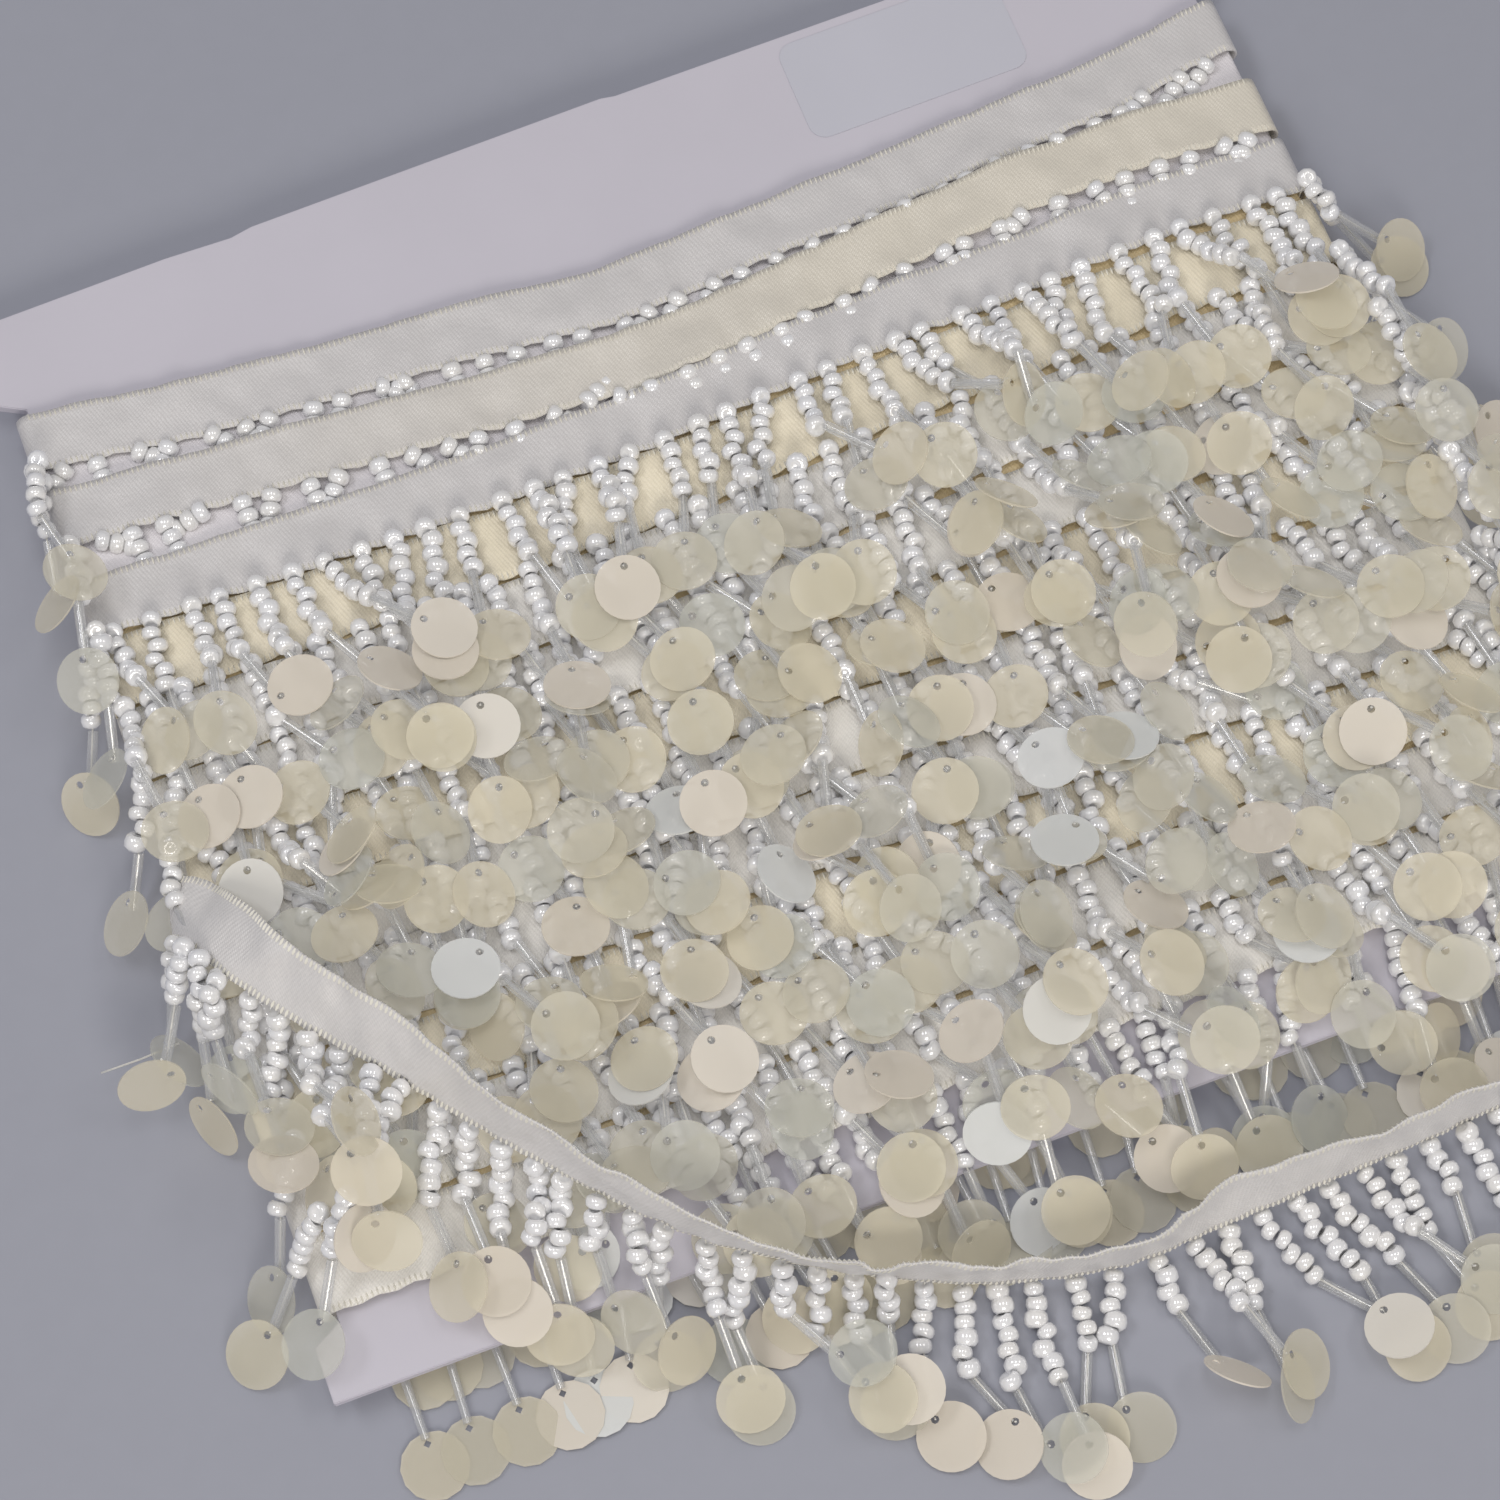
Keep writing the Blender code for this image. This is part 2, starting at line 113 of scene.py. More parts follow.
# Loose end: x, y and z of its fringed edge, and the bearing and lean of its width from there
LOOSE = (
    (-83.2, -13.4, 1.6, 74.0, 0.0),
    (-83.8, -14.0, 6.0, 73.0, -10.0),
    (-82.9, -15.2, 10.2, 70.0, -22.0),
    (-80.6, -19.2, 13.2, 58.0, 6.0),
    (-77.4, -24.6, 14.6, 38.0, 32.0),
    (-72.4, -31.6, 15.2, 33.0, 42.0),
    (-65.4, -39.9, 15.3, 35.0, 52.0),
    (-55.8, -52.1, 15.3, 75.0, 70.0),
    (-45.0, -64.4, 15.2, 42.0, 86.0),
    (-37.8, -71.0, 14.2, 55.0, 88.0),
    (-31.4, -75.0, 12.2, 60.0, 97.0),
    (-24.6, -78.0, 7.6, 82.0, 98.0),
    (-17.0, -81.2, 4.4, 76.0, 90.0),
    (-7.0, -85.0, 2.8, 82.0, 87.0),
    (7.0, -88.0, 2.7, 92.0, 90.0),
    (21.0, -87.6, 2.7, 80.0, 67.0),
    (37.5, -87.0, 2.7, 130.0, 78.0),
    (54.0, -86.0, 2.7, 92.0, 79.0),
    (70.0, -83.8, 2.7, 96.0, 77.0),
)

# Strands where the ribbon turns round the card's edge: the turn, how many, and their bearing
LEFT_STRANDS = (
    (6, 1, -96.0),
    (5, 1, -118.0),
    (4, 1, -100.0),
    (3, 2, -102.0),
    (2, 1, -98.0),
    (1, 2, -102.0),
)
RIGHT_STRANDS = tuple((turn, 2, -78.0) for turn in range(TURNS, 2, -1))

# Strands pushed out past the card's edge at the left: x, y and z of the root, and the bearing
PUSHED_STRANDS = (
    (-77.2, -42.4, 7.0, -121.0),
    (-77.0, -52.3, 6.6, -143.0),
    (-73.6, -52.4, 6.8, -130.0),
)

# Turns whose strands start only at this x, as the real ones are pushed aside at the left
BARE_UP_TO = {10: -62.0, 11: -50.0, 12: -34.0}

# The loose end's strands at x: the bearing of their beads, and how far the tube turns from it
LOOSE_HANG = (
    (-80.5, -125.0, 4.0),
    (-77.5, -117.0, 18.0),
    (-60.0, -113.0, 22.0),
    (-45.0, -112.0, 20.0),
    (-10.0, -108.0, 10.0),
    (4.0, -101.0, 8.0),
    (9.0, -79.0, 5.0),
    (40.0, -75.0, 3.0),
    (48.0, -82.0, 6.0),
    (70.0, -84.0, 8.0),
)

# Kinds of element on a strand, by number and by the names of their inputs
PEARL, BUGLE, PAILLETTE, THREAD = range(4)
KINDS = ("Bead", "Bugle", "Paillette", "Thread")

# Part of a paillette's radius from its middle to the middle of its hole
HOLE_OUT = 0.66


def linear(code):
    """An sRGB hex colour as linear red, green, blue and alpha."""
    channels = [int(code[i : i + 2], 16) / 255 for i in (1, 3, 5)]
    return (*[c / 12.92 if c <= 0.04045 else ((c + 0.055) / 1.055) ** 2.4 for c in channels], 1.0)


def length_property(name, description, default, low, high):
    """A property that holds a length in metres."""
    return bpy.props.FloatProperty(
        name=name,
        description=description,
        default=default,
        min=low,
        max=high,
        precision=5,
        unit="LENGTH",
    )


def colour_property(name, description, code):
    """A property that holds a colour, by default this sRGB hex colour."""
    return bpy.props.FloatVectorProperty(
        name=name,
        description=description,
        default=linear(code),
        size=4,
        min=0.0,
        max=1.0,
        subtype="COLOR",
    )


class TrimSizes(bpy.types.PropertyGroup):
    """Sizes of the ribbon and of what is strung along it."""

    ribbon_width: length_property("Ribbon width", "Width of the satin ribbon", 0.008, 0.004, 0.012)
    ribbon_thickness: length_property(
        "Ribbon thickness", "Thickness of the satin ribbon", 0.00025, 0.0001, 0.001
    )
    picot_pitch: length_property(
        "Selvedge pitch", "Distance between the ridges of the selvedge", 0.00066, 0.0004, 0.002
    )
    strand_pitch: length_property(
        "Strand pitch", "Distance between strands along the ribbon", 0.0044, 0.003, 0.012
    )
    bead_width: length_property("Bead width", "Diameter of a seed bead", 0.00275, 0.0015, 0.004)
    bead_pitch: length_property(
        "Bead pitch", "Distance from one seed bead to the next on a strand", 0.00175, 0.001, 0.003
    )
    bugle_length: length_property("Bugle length", "Length of the tube bead", 0.007, 0.003, 0.012)
    bugle_width: length_property("Bugle width", "Diameter of the tube bead", 0.0013, 0.0008, 0.003)
    paillette_width: length_property(
        "Paillette width", "Diameter of the round paillette", 0.008, 0.004, 0.012
    )
    seed: bpy.props.IntProperty(
        name="Seed",
        description="Start of the random draws that scatter the strands",
        default=7,
        min=0,
    )


class TrimColours(bpy.types.PropertyGroup):
    """Colours of the ribbon, the beads and the card."""

    white_ribbon: colour_property("White ribbon", "Colour of the white satin ribbon", "#dbd8d7")
    cream_ribbon: colour_property("Cream ribbon", "Colour of the cream satin ribbon", "#e6dfd0")
    # Paler copies of the white and cream satin for the turns under the strands: painted light where the
    # strands shade them
    lower_white_painted_light: colour_property("Lower white turns", "Colour of white turns under the strands", "#f8f4ec")
    lower_cream_painted_light: colour_property("Lower cream turns", "Colour of cream turns under the strands", "#f8edd2")
    # A paler copy of the white satin for the loose end, which stands on edge and gets less light: painted
    # light
    loose_ribbon: colour_property("Loose end", "Colour of the ribbon's loose end", "#e6e3e1")
    pearl: colour_property("Pearl bead", "Colour of the seed beads", "#f8f8fa")
    film: colour_property("Paillette", "Colour of most paillettes", "#f4ebd2")
    card: colour_property("Card", "Colour of the reel card", "#d2ced8")


def read(table, x, column=1):
    """The value at x in a table whose rows start with x, straight between its rows."""
    return float(np.interp(x, [row[0] for row in table], [row[column] for row in table]))


def turn_top(turn, x):
    """The upper edge of a turn of ribbon at x."""
    listed = min(turn, STRAYS_LISTED)
    share = min(1.0, (STRAIGHT_TURN - turn) / (STRAIGHT_TURN - STRAYS_LISTED))
    return FIRST_TURN_TOP - TURN_PITCH * (turn - 1) + read(STRAYS, x, listed) * max(0.0, share)


def turn_height(turn, x):
    """The height of a turn's face at x."""
    left, right = TURN_HEIGHTS[min(turn, len(TURN_HEIGHTS)) - 1]
    share = (x + WAIST_HALF_WIDTH) / (2 * WAIST_HALF_WIDTH)
    return left + (right - left) * min(1.0, max(0.0, share))


def placed(points):
    """Points in millimetres on the card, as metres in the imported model's frame."""
    return np.asarray(points, dtype=float) * MM + np.array(ORIGIN)


def new_mesh(name, vertices, faces, edges=()):
    mesh = bpy.data.meshes.new(name)
    mesh.from_pydata([tuple(v) for v in vertices], list(edges), [tuple(f) for f in faces])
    mesh.update()
    return mesh


def new_object(name, data):
    made = bpy.data.objects.new(name, data)
    bpy.context.scene.collection.objects.link(made)
    return made


def add(tree, kind, inputs=None, **settings):
    """A node of this kind in the tree, with its settings, its values and its links.

    A node among the inputs stands for its first output.
    """
    node = tree.nodes.new(kind)
    for name, value in settings.items():
        setattr(node, name, value)
    for name, value in (inputs or {}).items():
        if isinstance(value, bpy.types.Node):
            value = value.outputs[0]
        if isinstance(value, bpy.types.NodeSocket):
            tree.links.new(value, node.inputs[name])
        else:
            node.inputs[name].default_value = value
    return node


def shaded(tree, shader, colour, pattern, dark, spread=(0.0, 1.0)):
    """Takes the shader's colour down to a share of itself where a pattern is low."""
    shade = add(tree, "ShaderNodeMapRange", {0: pattern, 1: spread[0], 2: spread[1], 3: dark, 4: 1.0})
    inputs = {0: 1.0, 6: colour, 7: shade}
    mixed = add(tree, "ShaderNodeMix", inputs, data_type="RGBA", blend_type="MULTIPLY")
    tree.links.new(mixed.outputs[2], shader.inputs["Base Color"])


def new_material(name, values):
    """A material with its tree and its shader, which takes these values.

    One that is made already comes without them, so that it isn't dressed twice.
    """
    made = bpy.data.materials.get(name)
    if made:
        return made, None, None
    made = bpy.data.materials.new(name)
    made.use_nodes = True
    shader = made.node_tree.nodes["Principled BSDF"]
    for label, value in values.items():
        shader.inputs[label].default_value = value
    return made, made.node_tree, shader


def mottled(name, colour, rough, scale, detail, dark, spread=(0.0, 1.0)):
    """A plain material, its colour down to a share of itself here and there.

    Its scale is in flecks to the metre, so 1000 makes them about a millimetre wide.
    """
    made, tree, shader = new_material(name, {"Roughness": rough})
    if tree:
        place = add(tree, "ShaderNodeTexCoord")
        inputs = {"Vector": place.outputs["Object"], "Scale": scale, "Detail": detail}
        shaded(tree, shader, colour, add(tree, "ShaderNodeTexNoise", inputs), dark, spread)
    return made


def satin(name, colour, paler=None):
    """Woven polyester satin ribbon: floating threads give a soft sheen and a fine slant.

    The real floats are 0.25 mm apart, too fine to show, so they are drawn 0.5 mm apart.
    A paler colour, if given, takes over towards the card's left side.
    """
    values = {"Roughness": 0.34, "Specular IOR Level": 0.85}
    values.update({"Sheen Weight": 0.15, "Sheen Roughness": 0.35})
    made, tree, shader = new_material(name, values)
    if not tree:
        return made
    across = add(tree, "ShaderNodeUVMap", uv_map="UVMap")
    split = add(tree, "ShaderNodeSeparateXYZ", {0: across})
    inputs = {0: split.outputs["Y"], 1: 0.5, 2: split.outputs["X"]}
    slant = add(tree, "ShaderNodeMath", inputs, operation="MULTIPLY_ADD")
    along = add(tree, "ShaderNodeMath", {0: slant, 1: 13.0}, operation="MULTIPLY")
    over = add(tree, "ShaderNodeMath", {0: split.outputs["Y"], 1: 11.5}, operation="MULTIPLY")
    floats = add(tree, "ShaderNodeMath", {0: along}, operation="SINE")
    picks = add(tree, "ShaderNodeMath", {0: over}, operation="SINE")
    ribs = add(tree, "ShaderNodeMath", {0: floats, 1: picks}, operation="MULTIPLY")
    inputs = {"Vector": across, "Scale": 1.6, "Detail": 4.0, "Roughness": 0.65}
    threads = add(tree, "ShaderNodeTexNoise", inputs, noise_dimensions="2D")
    weave = add(tree, "ShaderNodeMath", {0: ribs, 1: 0.35, 2: threads}, operation="MULTIPLY_ADD")
    bump = add(tree, "ShaderNodeBump", {"Height": weave, "Strength": 0.45, "Distance": 0.00014})
    tree.links.new(bump.outputs[0], shader.inputs["Normal"])
    if paler is not None:
        place = add(tree, "ShaderNodeTexCoord")
        spot = add(tree, "ShaderNodeSeparateXYZ", {0: place.outputs["Object"]})
        fade = add(tree, "ShaderNodeMapRange", {0: spot.outputs["X"], 1: -0.07, 2: 0.02})
        faded = add(tree, "ShaderNodeMix", {0: fade, 6: paler, 7: colour}, data_type="RGBA")
        colour = faded.outputs[2]
    # Colour darker in the weave's low places: partly the weave's own pattern, partly painted shade between
    # the floats, on top of the bump
    shaded(tree, shader, colour, weave, 0.91, (0.1, 0.9))
    return made


def selvedge_yarn():
    """Matt cotton-like cord of the selvedge: paler and duller than the satin beside it.

    Its fuzz of about 0.1 mm is too fine to show, so it is drawn 0.55 mm wide.
    """
    return mottled("ribbed_selvedge_yarn", linear("#fbf7ea"), 0.6, 1800.0, 2.0, 0.88)


def spun_thread():
    """Spun polyester sewing thread: matt white with a faint lay.

    The lay's turns, about 0.2 mm apart, are drawn as flecks of 0.4 mm.
    """
    return mottled("spun_polyester_thread", linear("#f3f1ea"), 0.6, 2500.0, 2.0, 0.82)


def label_paper():
    """Coated label paper, blank: a little cooler and smoother than the card it is stuck on.

    The coat's clouds are 17 mm wide.
    """
    return mottled("coated_label_paper", linear("#cdcdd7"), 0.35, 60.0, 3.0, 0.97, (0.3, 0.7))


def pale_floor():
    """A plain painted table, matt, with a barely seen mottle of 3 mm."""
    return mottled("matt_painted_table", linear("#a4a6b1"), 0.7, 300.0, 2.0, 0.96)


def coated_board(colour):
    """White-lined pulp board, calendered: a faint cool cast, fine fibre and a low sheen.

    Its fibres are about a millimetre long, and the clouds of its pulp 22 mm wide.
    """
    made, tree, shader = new_material("white_lined_pulp_board", {"Roughness": 0.55})
    if not tree:
        return made
    place = add(tree, "ShaderNodeTexCoord").outputs["Object"]
    fibre = add(tree, "ShaderNodeTexNoise", {"Vector": place, "Scale": 900.0, "Detail": 5.0})
    cloud = add(tree, "ShaderNodeTexNoise", {"Vector": place, "Scale": 45.0, "Detail": 3.0})
    shaded(tree, shader, colour, cloud, 0.955, (0.3, 0.7))
    bump = add(tree, "ShaderNodeBump", {"Height": fibre, "Strength": 0.2, "Distance": 0.00005})
    tree.links.new(bump.outputs[0], shader.inputs["Normal"])
    return made


def pearl_glass(colour):
    """Opaque glass seed beads fired with a pearl lustre: milky white with sharp lights."""
    values = {"Roughness": 0.45, "IOR": 1.52}
    values.update({"Coat Weight": 1.0, "Coat Roughness": 0.03, "Coat IOR": 2.5})
    made, tree, shader = new_material("pearl_lustre_glass", values)
    if tree:
        tint = add(tree, "ShaderNodeAttribute", attribute_name="tint")
        blush = add(tree, "ShaderNodeMapRange", {0: tint.outputs["Fac"], 3: 0.0, 4: 0.35})
        inputs = {0: blush, 6: colour, 7: linear("#faf5ea")}
        mixed = add(tree, "ShaderNodeMix", inputs, data_type="RGBA")
        tree.links.new(mixed.outputs[2], shader.inputs["Base Color"])
    return made


def clear_glass():
    """Drawn clear glass cut into short tubes: see-through sides and one bright line."""
    values = {"Base Color": linear("#f4f5f5"), "Roughness": 0.2, "IOR": 1.9}
    values.update({"Coat Weight": 1.0, "Coat Roughness": 0.07, "Coat IOR": 4.4})
    made, tree, shader = new_material("clear_glass_tube", values)
    if tree:
        rim = add(tree, "ShaderNodeLayerWeight", {"Blend": 0.5})
        seen = add(tree, "ShaderNodeMapRange", {0: rim.outputs["Facing"], 3: 0.21, 4: 0.62})
        tree.links.new(seen.outputs[0], shader.inputs["Alpha"])
    return made


def frosted_film(colour):
    """Paillettes stamped from frosted plastic film: matt and half see-through; a few glossier ones take
    paler, more opaque warm or cool tints, which are painted reflection of the lamps.
    """
    made, tree, shader = new_material("frosted_paillette_film", {"IOR": 1.5})
    if not tree:
        return made
    tint = add(tree, "ShaderNodeAttribute", attribute_name="tint").outputs["Fac"]
    kinds = add(tree, "ShaderNodeValToRGB", {0: tint})
    # From 0.86 up the tints are paler and more opaque: painted reflection of the lamps on the glossier
    # paillettes; below that the tints differ at random
    stops = (
        (0.0, linear("#dfe0d4"), 0.32),
        (0.25, linear("#e8e3d0"), 0.34),
        (0.5, linear("#f0e8ce"), 0.38),
        (0.84, colour, 0.44),
        (0.86, linear("#f6ecdb"), 0.62),
        (0.95, linear("#faf2e4"), 0.74),
        (0.97, linear("#f3f5f2"), 0.7),
        (1.0, linear("#f8f9f7"), 0.72),
    )
    ramp = kinds.color_ramp.elements
    while len(ramp) < len(stops):
        ramp.new(1.0)
    for stop, (position, shown, opaque) in zip(ramp, stops):
        stop.position = position
        stop.color = (*shown[:3], opaque)
    gloss = add(tree, "ShaderNodeMapRange", {0: tint, 1: 0.9, 2: 0.94, 3: 0.5, 4: 0.28})
    tree.links.new(kinds.outputs["Color"], shader.inputs["Base Color"])
    tree.links.new(kinds.outputs["Alpha"], shader.inputs["Alpha"])
    tree.links.new(gloss.outputs[0], shader.inputs["Roughness"])
    return made


# Shapes that repeat, each of unit size: a bead 1 across, a tube 1 long and 1 across, a disc
# 1 across and 1 thick, a thread 1 long and 1 across. A profile is of radius and height
BEAD_PROFILE = (
    *((0.14, 0.25), (0.31, 0.33), (0.46, 0.2), (0.5, 0.0)),
    *((0.46, -0.2), (0.31, -0.33), (0.14, -0.25)),
)
PLAIN_BEAD_PROFILE = ((0.25, 0.34), (0.5, 0.0), (0.25, -0.34))
THREAD_PROFILE = ((0.5, 0.5), (0.5, -0.5))


def circle(sides):
    """Cosine and sine at even steps once round."""
    angles = [2 * math.pi * i / sides for i in range(sides)]
    return [(math.cos(angle), math.sin(angle)) for angle in angles]


def rings_of(bm, profile, sides):
    """A ring of vertices about z for each radius and height of a profile."""
    return [[bm.verts.new((r * c, r * s, height)) for c, s in circle(sides)] for r, height in profile]


def bridge(bm, ring, other):
    """The faces between two rings of as many vertices."""
    after = [*range(1, len(ring)), 0]
    return [bm.faces.new((ring[i], other[i], other[j], ring[j])) for i, j in enumerate(after)]


def finished_shape(name, bm):
    """The shape as an object."""
    mesh = bpy.data.meshes.new(name)
    bm.to_mesh(mesh)
    bm.free()
    return new_object(name, mesh)


def lathe(name, profile, sides):
    """A smooth closed shape turned about z from its profile, top to bottom."""
    bm = bmesh.new()
    rings = rings_of(bm, profile, sides)
    for upper, lower in zip(rings, rings[1:]):
        bridge(bm, upper, lower)
    bm.faces.new(rings[0])
    bm.faces.new(list(reversed(rings[-1])))
    for face in bm.faces:
        face.smooth = True
    bmesh.ops.recalc_face_normals(bm, faces=bm.faces)
    return finished_shape(name, bm)


def tube_shape(name, sides, bore):
    """A tube with flat ends and a bore, standing on z."""
    bm = bmesh.new()
    rings = rings_of(bm, ((bore / 2, 0.5), (0.5, 0.5), (0.5, -0.5), (bore / 2, -0.5)), sides)
    for number, ring in enumerate(rings):
        for face in bridge(bm, ring, rings[(number + 1) % len(rings)]):
            face.smooth = number in (1, 3)
        for here, there in zip(ring, ring[1:] + ring[:1]):
            bm.edges.get((here, there)).smooth = False
    bmesh.ops.recalc_face_normals(bm, faces=bm.faces)
    return finished_shape(name, bm)


def disc_shape(name, sides, hole_sides, hole_radius):
    """A round flat disc with a small hole near its rim, towards its own y."""
    bm = bmesh.new()
    layers = []
    for height in (0.5, -0.5):
        rim = [bm.verts.new((0.5 * s, 0.5 * c, height)) for c, s in circle(sides)]
        hole = [
            bm.verts.new((hole_radius * s, HOLE_OUT / 2 + hole_radius * c, height))
            for c, s in circle(hole_sides)
        ]
        layers.append((rim, hole))
        pairs = [pair for ring in (rim, hole) for pair in zip(ring, ring[1:] + ring[:1])]
        edges = [bm.edges.new(pair) for pair in pairs]
        bmesh.ops.triangle_fill(bm, use_beauty=True, edges=edges)
    for top, low in zip(*layers):
        for i in range(len(top)):
            after = (i + 1) % len(top)
            bm.faces.new((top[i], top[after], low[after], low[i]))
    bmesh.ops.recalc_face_normals(bm, faces=bm.faces)
    return finished_shape(name, bm)


def ridge_shape():
    """One ridge of the selvedge, along its own x, with narrow ends."""
    bm = bmesh.new()
    rings = []
    for x, half, top in ((-0.5, 0.28, 0.35), (0.0, 0.5, 1.0), (0.5, 0.2, 0.3)):
        corners = ((-half, -0.3), (half, -0.3), (0.0, top))
        rings.append([bm.verts.new((x, y, z)) for y, z in corners])
    for here, there in zip(rings, rings[1:]):
        bridge(bm, here, there)
    bm.faces.new(rings[0])
    bm.faces.new(rings[-1])
    bmesh.ops.recalc_face_normals(bm, faces=bm.faces)
    return finished_shape("ridge_shape", bm)


def new_tree(name, inputs):
    """An empty geometry tree with its named inputs, and its first and last nodes."""
    tree = bpy.data.node_groups.new(name, "GeometryNodeTree")
    sockets = tree.interface
    sockets.new_socket("Geometry", in_out="INPUT", socket_type="NodeSocketGeometry")
    for label, kind, value in inputs:
        socket = sockets.new_socket(label, in_out="INPUT", socket_type=f"NodeSocket{kind}")
        if value is not None:
            socket.default_value = value
    sockets.new_socket("Geometry", in_out="OUTPUT", socket_type="NodeSocketGeometry")
    return tree, add(tree, "NodeGroupInput").outputs, add(tree, "NodeGroupOutput").inputs[0]


def copied(tree, shape, material, where):
    """Copies of an object on points, made real and given their material."""
    held = add(tree, "GeometryNodeObjectInfo", {"Object": shape})
    inputs = {"Instance": held.outputs["Geometry"], **where}
    copies = add(tree, "GeometryNodeInstanceOnPoints", inputs)
    real = add(tree, "GeometryNodeRealizeInstances", {"Geometry": copies})
    return add(tree, "GeometryNodeSetMaterial", {"Geometry": real, "Material": material}).outputs[0]


def strung_tree():
    """A bead, a tube, a disc or a thread on each point, as the point's kind says."""
    name = "Strung pieces"
    if name in bpy.data.node_groups:
        return bpy.data.node_groups[name]
    inputs = []
    for kind in KINDS:
        inputs.append((kind, "Object", None))
        inputs.append((f"{kind} material", "Material", None))
        inputs.append((f"{kind} width", "Float", 0.002))
    tree, given, result = new_tree(name, inputs)
    stored = "GeometryNodeInputNamedAttribute"
    kind_at = add(tree, stored, {"Name": "kind"}, data_type="INT")
    turn_at = add(tree, stored, {"Name": "turn"}, data_type="QUATERNION")
    size_at = add(tree, stored, {"Name": "size"}, data_type="FLOAT_VECTOR")
    joined = add(tree, "GeometryNodeJoinGeometry")
    for number, kind in enumerate(KINDS):
        inputs = {2: kind_at, 3: number}
        chosen = add(tree, "FunctionNodeCompare", inputs, data_type="INT", operation="EQUAL")
        inputs = {0: size_at, "Scale": given[f"{kind} width"]}
        size = add(tree, "ShaderNodeVectorMath", inputs, operation="SCALE")
        where = {"Points": given["Geometry"], "Selection": chosen, "Rotation": turn_at, "Scale": size}
        strung = copied(tree, given[kind], given[f"{kind} material"], where)
        tree.links.new(strung, joined.inputs[0])
    tree.links.new(joined.outputs[0], result)
    return tree


def selvedge_tree():
    """Ridges at an even pitch along a ribbon's edge, square to it."""
    name = "Selvedge ridges"
    if name in bpy.data.node_groups:
        return bpy.data.node_groups[name]
    inputs = [("Ridge", "Object", None), ("Material", "Material", None)]
    sizes = (("Pitch", 0.00066), ("Length", 0.0009), ("Width", 0.00038), ("Height", 0.00032))
    inputs.extend((label, "Float", value) for label, value in sizes)
    tree, given, result = new_tree(name, inputs)
    path = add(tree, "GeometryNodeMeshToCurve", {"Mesh": given["Geometry"]})
    inputs = {"Curve": path, "Length": given["Pitch"]}
    spaced = add(tree, "GeometryNodeResampleCurve", inputs, mode="LENGTH")
    stored = "GeometryNodeInputNamedAttribute"
    up_at = add(tree, stored, {"Name": "up"}, data_type="FLOAT_VECTOR")
    out_at = add(tree, stored, {"Name": "out"}, data_type="FLOAT_VECTOR")
    inputs = {0: up_at, 1: out_at}
    turn = add(tree, "FunctionNodeAxesToRotation", inputs, primary_axis="Z", secondary_axis="X")
    inputs = {0: given["Length"], 1: given["Width"], 2: given["Height"]}
    size = add(tree, "ShaderNodeCombineXYZ", inputs)
    where = {"Points": spaced, "Rotation": turn, "Scale": size}
    tree.links.new(copied(tree, given["Ridge"], given["Material"], where), result)
    return tree


def grown(name, mesh, tree, values):
    """The tree's result on the mesh, as a plain mesh object."""
    source = new_object(f"{name}_points", mesh)
    made = source.modifiers.new(tree.name, "NODES")
    made.node_group = tree
    for item in tree.interface.items_tree:
        if item.in_out == "INPUT" and item.name in values:
            made[item.identifier] = values[item.name]
    bpy.context.view_layer.update()
    seen = source.evaluated_get(bpy.context.evaluated_depsgraph_get())
    result = bpy.data.meshes.new_from_object(seen)
    source.modifiers.clear()
    bpy.data.objects.remove(source)
    result.name = name
    return new_object(name, result)


def let_go(*shapes):
    """Removes the shapes that were copied along a piece."""
    for shape in shapes:
        mesh = shape.data
        bpy.data.objects.remove(shape)
        bpy.data.meshes.remove(mesh)


def give(mesh, label, kind, values):
    """An attribute of the mesh's points."""
    layer = mesh.attributes.new(label, kind, "POINT")
    field = "vector" if kind == "FLOAT_VECTOR" else "value"
    layer.data.foreach_set(field, np.array(values).ravel().tolist())


# The grid that the strands settle on: its step and its corners
PILE_STEP = 0.5
PILE_LOW = (-116.0, -122.0)
PILE_HIGH = (116.0, 84.0)

# How far below the turns' faces the earlier turns lie, which show through the gaps, and how far
# they reach past each turn's edges
GAP_DEPTH = 0.75
PAST_HEAD, PAST_FOOT = 1.0, 2.2

# How far the crumpled faces stand out, as the strands settle on them
FACE_PROUD = 0.15

# How far the head edge of a turn lies up under the strands of the turn above it
TUCKED = 1.3

# Share of a bead's or tube's radius that stays clear of its neighbours, as they do nestle
NESTLE = 0.93

# Part by which the widest bead is wider than most
WIDEST = 1.06

# Thickness of a paillette, what its lowest rim is kept off the table, and a thread's width
FILM = 0.22
RIM_TO_SPARE = 0.12
THREAD_WIDTH = 0.28

# The steepest slope that beads and tubes lie at
STEEPEST = 0.85


def tilted_disc(dx, dy, radius, slope):
    """Which cells a disc of this slope covers, how steep it is, and how much it is foreshortened."""
    short = 1.0 / math.sqrt(1.0 + float(slope @ slope))
    steep = float(np.linalg.norm(slope))
    fall = slope / steep if steep > 1e-6 else np.array((1.0, 0.0))
    along = dx * fall[0] + dy * fall[1]
    aside = dx * fall[1] - dy * fall[0]
    return (along / short) ** 2 + aside**2 < radius**2, steep, short


